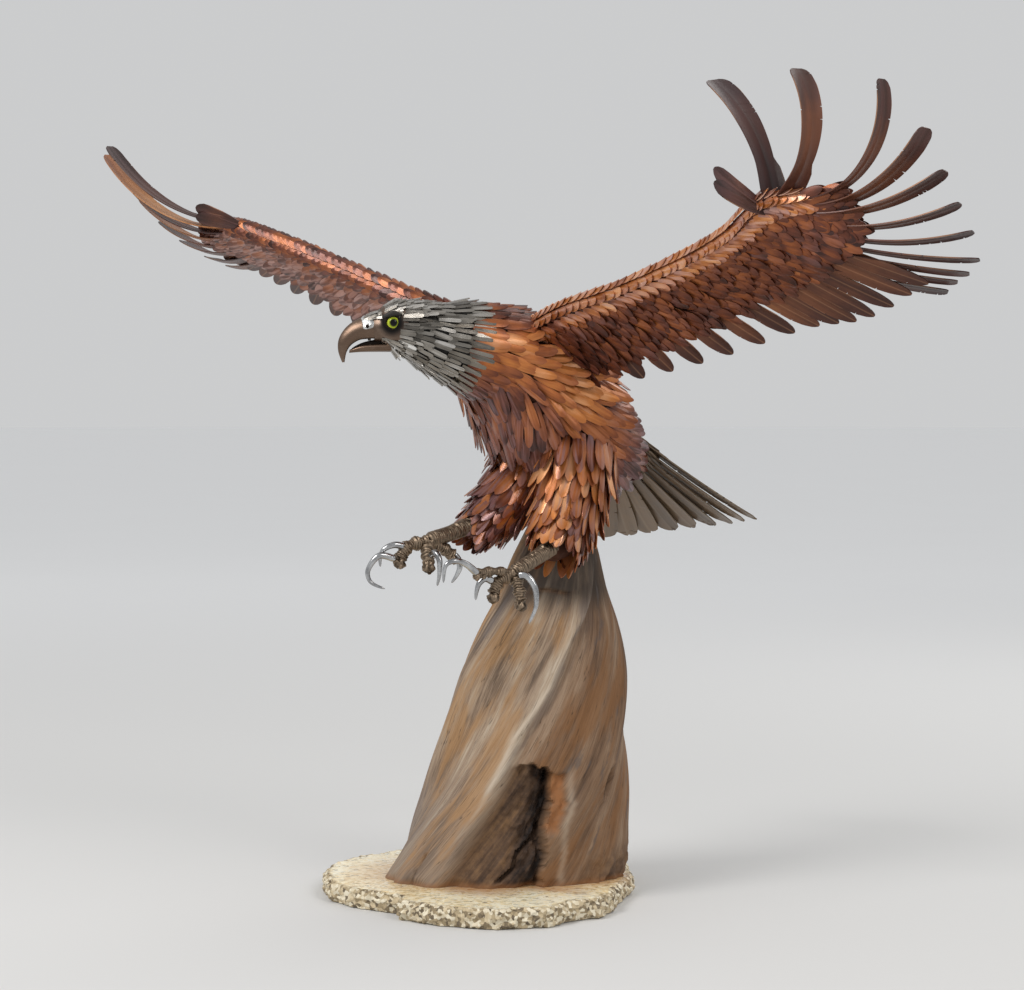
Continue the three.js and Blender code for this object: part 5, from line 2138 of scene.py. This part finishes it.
    def build(self) -> None:
        """Builds the wing."""
        self.build_arm()
        self.build_coverts()
        self.build_greater_coverts()
        self.build_leading_edge()
        self.build_secondaries()
        self.build_primaries()
        self.build_alula()


LEFT_WING = WingPlan(
    "left", 1,
    (
        (60, 34, 868, 80, 50, 96, 46, 80, 50, 80), (151, 8, 898, 68, 50, 104, 30, 68, 50, 100),
        (267, -4, 927, 56, 42, 108, 22, 56, 40, 122), (379, -17, 963, 46, 31, 118, 20, 46, 31, 148),
        (452, -28, 992, 42, 32, 122, 18, 42, 31, 176), (518, -39, 1031, 40, 46, 116, 17, 32, 23, 200),
        (590, -16, 1040, 26, 56, 66, 15, 26, 20, 205),
    ),
    (
        (539, -32, 1024, -8, 96, 50, 218, 44, 0), (547, -27, 1032, -8, 34, 94, 200, 42, 0),
        (572, -15, 1034, -8, -8, 112, 238, 30, 0), (580, -9, 1022, -4, -4, 62, 220, 34, 12),
        (572, -10, 1012, 2, -6, 38, 222, 30, 14), (575, -4, 1001, 8, -12, 34, 222, 28, 12),
        (556, -6, 999, 14, -20, 33, 252, 27, 12), (549, -4, 989, 19, -17, 16, 262, 27, 12),
        (565, 8, 974, 24, -17, 12, 227, 27, 14), (560, 17, 961, 29, -16, 10, 211, 27, 14),
        (552, 25, 947, 33, -14, 6, 202, 27, 16),
    ),
    (530, -34, 1018, -122, 30, 96, 26, 70),
    (13, 0.22, 0.84, 27, 42),
)
RIGHT_WING = WingPlan(
    "right", -1,
    (
        (4, 34, 870, 72, 38, 96, 46, 72, 38, 82), (-89, -12, 908, 58, 36, 100, 30, 58, 36, 100),
        (-216, -16, 954, 44, 28, 100, 22, 44, 28, 120), (-317, -21, 990, 34, 17, 104, 20, 34, 17, 138),
        (-390, -26, 1014, 28, 12, 104, 18, 28, 12, 138), (-452, -30, 1033, 24, 12, 92, 17, 24, 12, 134),
        (-506, -12, 1040, 18, 10, 52, 14, 20, 10, 124),
    ),
    (
        (-478, -28, 1040, -8, 4, 48, 298, 30, 20), (-478, -22, 1033, -4, -2, 54, 324, 30, 20),
        (-478, -15, 1026, 1, -5, 53, 304, 30, 20), (-476, -8, 1018, 6, -8, 47, 284, 30, 20),
        (-474, 0, 1010, 11, -10, 40, 262, 30, 20), (-470, 8, 1002, 16, -11, 32, 238, 30, 20),
        (-466, 19, 991, 22, -11, 24, 208, 30, 20), (-458, 30, 981, 27, -9, 16, 184, 30, 20),
    ),
    (-456, -40, 1036, -50, 18, 72, 24, 55),
    (12, 0.18, 0.72, 27, 30),
)


Path = tuple[Row, ...]


@dataclass
class Leg(SubAssembly):
    """A shank and toes built up in weld, with polished claws."""

    name: str
    shank: Path
    shank_radius: float
    toes: tuple[tuple[Path, float], ...]
    talons: tuple[Path, ...]
    claw_radius: float = 5.4

    def build(self) -> None:
        """Builds the leg."""
        top, ankle = np.array(self.shank[0]), np.array(self.shank[1])
        inside = tuple(top + (top - ankle) * 0.55)
        radii = [self.shank_radius * k for k in (1.05, 1.0, 0.86, 0.95)]
        shank = Rod(self.scaled((inside, *self.shank)), radii, 0.13, 3.6)
        parts = [shank.build("shank", 36, 96)]
        for index, (toe, radius) in enumerate(self.toes):
            rod = Rod(
                self.scaled(toe), lambda t, r=radius: r * (1.0 + 0.2 * math.cos(6 * math.pi * t)),
                0.2, 3.4, float(index),
            )
            parts.append(rod.build("toe", 26, 60))
            end, before = np.array(toe[-1]) * MM, np.array(toe[-2]) * MM
            for share, size, low in ((0.95, 1.0, 0.75), (0.62, 0.86, 0.55), (0.25, 0.8, 0.4)):
                middle = end * share + before * (1 - share) - UP * radius * low * MM
                parts.append(self.knuckle(middle, radius * size * MM))
        leg = Bench.joined(f"{self.name}_leg_weld", parts)
        self.dress(leg, self.finishes.weld, Slot.BRONZE, f"{self.name}_leg")
        for index, talon in enumerate(self.talons):
            rod = Rod(self.scaled(talon), lambda t: self.claw_radius * (1.12 - t) ** 0.6, groove=0.2)
            name = f"{self.name}_talon_{index + 1}"
            self.dress(rod.build(f"{name}_claw", 20, 44), self.finishes.claw, Slot.POLISHED, name)

    def knuckle(self, middle: np.ndarray, size: float) -> bpy.types.Object:
        """A knobbly lump of weld under a toe.

        Args:
            middle: Its middle, in metres.
            size: About its radius, in metres.

        Returns:
            The lump, with how high each point stands on its weld.
        """
        lump = Bench.blob(middle, (size, size, size * self.near(1.1, 0.15)), 4)
        spots = Bench.points(lump) - middle
        shift = self.draw.uniform(0, 50)
        places = [Vector(spot / size * 1.3) + Vector((shift, 0, 0)) for spot in spots]
        rise = np.clip(np.array([noise.fractal(place, 0.7, 2.1, 4) for place in places]), -0.8, 0.8)
        Bench.place(lump, middle + spots * (1 + 0.32 * rise)[:, None])
        Bench.mark(lump.data, "bead", np.clip(0.55 + 0.9 * rise, 0, 1))
        Bench.soften(lump, 60)
        return lump

    @staticmethod
    def scaled(path: Path) -> list[np.ndarray]:
        """The path in metres."""
        return [np.array(point) * MM for point in path]


@dataclass
class Tail(SubAssembly):
    """Nine dull feathers in a fan, with short coverts over their roots."""

    count: int = 9
    left_root: tuple[float, float, float] = (92, 264, 707)
    right_root: tuple[float, float, float] = (44, 264, 652)
    spread: float = 35.0
    left_fall: float = 36.0
    right_fall: float = 33.0
    length: float = 260.0
    width: float = 44.0

    def quill(self, f: float) -> Quill:
        """The quill of the feather at a share of the way across the fan."""
        root = np.array(self.left_root) * (1 - f) + np.array(self.right_root) * f
        rake = 90 - self.spread + 2 * self.spread * f
        rise = -(self.left_fall * (1 - f) + self.right_fall * f)
        return Quill(1, root, rake, rise, 6, self.length, self.width, 0.0, 1.7, 1.5, 0.05)

    def build(self) -> None:
        """Builds the fan."""
        for i in range(self.count):
            bed = Bed()
            tone = Tone.held(0.55 + self.draw.gauss(0, 0.08), 0.45, 0.0)
            bed.fly(Cutter.cut(TAIL_VANE, 7, 44, self.draw), self.quill(i / (self.count - 1)), tone)
            name = f"tail_feather_{i + 1}"
            self.dress(bed.build(f"{name}_vane"), self.finishes.khaki, Slot.TAIL, name)
        bed = Bed()
        small = self.blanks(LEAF, 2, 7, 3)
        for face in (1, -1):
            for row in range(3, -1, -1):
                for i in range(17):
                    f = (i + 0.5 * (row % 2)) / 17
                    quill = self.quill(f)
                    at, _, outward = quill.line(np.array((0.0, 0.01 + 0.045 * row, 0.06 + 0.045 * row)))
                    run = unit(at[2] - at[1])
                    root = at[1] + outward[1] * face * 3.5 * MM
                    tone = Tone.held(0.5 + self.draw.gauss(0, 0.12), 0.4, 0.0)
                    bed.lay(
                        self.draw.choice(small), root, run, outward[1] * face, self.near(38, 0.2),
                        self.near(13, 0.15), tone, 0.12, 0.1, 0.12,
                    )
        self.dress(bed.build("tail_coverts"), self.finishes.khaki, Slot.TAIL)


# ------------------------------------------------------------------ studio


@dataclass
class Studio:
    """The floor, the soft lights, the pale surroundings and the camera."""

    camera_place: tuple[float, float, float] = (2.259, -2.804, 0.805)
    azimuth: float = FACING
    pitch: float = 3.0
    lens: float = 84.375
    near_floor: Colour = (0.66, 0.66, 0.655)
    far_floor: Colour = (0.985, 0.99, 0.995)
    sky: Colour = (0.60, 0.605, 0.61)

    def build_floor(self) -> None:
        """Lays a wide pale floor."""
        Bench.clear()
        bpy.ops.mesh.primitive_circle_add(vertices=96, radius=30.0, fill_type="NGON")
        floor = bpy.context.object
        floor.name = "floor"
        tree = ShaderTree("floor_pale")
        away = tree.add("ShaderNodeVectorMath", {"operation": "LENGTH"}, {0: tree.spot()}, "Value")
        pale = tree.blend(away.step(0.8, 6.0), self.near_floor, self.far_floor)
        cloud = tree.grain(tree.spot(), 1.6, 3.0)
        pale = tree.blend(cloud * 0.04, pale, self.near_floor)
        floor.data.materials.append(tree.finish(pale, 0.9, Specular_IOR_Level=0.1))

    def build_lights(self) -> None:
        """Hangs large soft lights and sets the surroundings."""
        lamps = (
            ("key", (-0.6, -2.4, 3.0), 1.6, 62, (1.0, 0.98, 0.96)),
            ("side", (3.0, -0.4, 2.6), 1.4, 26, (1.0, 0.96, 0.92)),
            ("back", (0.2, 2.8, 2.8), 2.4, 26, (1.0, 0.98, 0.95)),
        )
        for name, place, size, power, colour in lamps:
            light = bpy.data.lights.new(name, "AREA")
            light.shape = "DISK"
            light.size, light.energy, light.color = size, power, colour
            lamp = bpy.data.objects.new(name, light)
            lamp.location = place
            aim = Vector((0.0, 0.05, 0.75)) - lamp.location
            lamp.rotation_euler = aim.to_track_quat("-Z", "Y").to_euler()
            bpy.context.collection.objects.link(lamp)
        world = bpy.data.worlds.new("pale_room")
        world.use_nodes = True
        background = world.node_tree.nodes["Background"]
        background.inputs["Color"].default_value = (*self.sky, 1.0)
        background.inputs["Strength"].default_value = 1.0
        bpy.context.scene.world = world

    def build_camera(self) -> None:
        """Sets the camera."""
        camera = bpy.data.objects.new("camera", bpy.data.cameras.new("camera"))
        camera.data.lens = self.lens
        camera.data.sensor_width = 36.0
        camera.data.clip_end = 60.0
        camera.location = self.camera_place
        camera.rotation_euler = (math.radians(90 - self.pitch), 0.0, math.radians(self.azimuth))
        bpy.context.collection.objects.link(camera)
        bpy.context.scene.camera = camera
        bpy.context.scene.view_settings.view_transform = "Standard"

    def build(self) -> None:
        """Builds the studio."""
        self.build_floor()
        self.build_lights()
        self.build_camera()


def main() -> None:
    """Builds the sculpture and its studio."""
    logging.basicConfig(level=logging.INFO, format="%(name)s: %(message)s")
    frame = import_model()
    LOG.info("%d solids", len(frame["nodes"]))
    finishes = Finishes()
    Slab(finishes, random.Random(1)).build()
    Stump(finishes, random.Random(2)).build()
    Torso(finishes, random.Random(3)).build()
    Head(finishes, random.Random(4)).build()
    Wing(finishes, random.Random(5), LEFT_WING, 0.35, 0.36, 0.05).build()
    Wing(
        finishes, random.Random(6), RIGHT_WING, 0.36, 0.34, 0.50, spacing=13.5, rows_of_coverts=6, shiny=True,
        edge_tone=0.36, breadth=1.12, turns=(-24.0, -24.0, -24.0, -12.0),
    ).build()
    Leg(
        finishes, random.Random(7), "left",
        ((129, 12, 541), (132, -34, 526), (127, -72, 510)), 12.0,
        (
            (((127, -72, 510), (122, -110, 515), (118, -147, 515)), 6.0),
            (((127, -72, 510), (121, -98, 500), (119, -110, 482)), 8.5),
            (((127, -72, 510), (138, -74, 490), (144, -76, 470)), 8.5),
        ),
        (
            ((119, -144, 513), (116, -166, 528), (110, -184, 534), (102, -196, 527), (99, -197, 503)),
            ((119, -110, 500), (115, -122, 505), (110, -130, 498), (107, -132, 487), (105, -132, 474)),
            ((137, -76, 506), (149, -70, 507), (161, -65, 490), (163, -65, 464), (154, -70, 438)),
        ),
    ).build()
    Leg(
        finishes, random.Random(8), "right",
        ((-8, 2, 573), (-5, -52, 562), (-10, -102, 552)), 13.0,
        (
            (((-10, -102, 552), (-20, -134, 546), (-24, -150, 528)), 9.0),
            (((-10, -102, 548), (4, -118, 534), (14, -128, 522)), 8.5),
            (((-10, -102, 550), (-2, -78, 541), (6, -60, 530)), 8.0),
        ),
        (
            ((-20, -142, 546), (-27, -157, 549), (-36, -169, 543), (-42, -171, 532), (-43, -170, 517)),
            ((-24, -156, 528), (-36, -180, 534), (-47, -192, 514), (-44, -190, 496), (-27, -178, 486)),
            ((14, -124, 532), (26, -128, 538), (36, -130, 528), (36, -130, 508), (30, -128, 490)),
            ((5, -62, 531), (10, -56, 524), (12, -54, 512), (8, -56, 500), (1, -60, 488)),
        ),
    ).build()
    Tail(finishes, random.Random(9)).build()
    Studio().build()


if __name__ == "__main__":
    main()
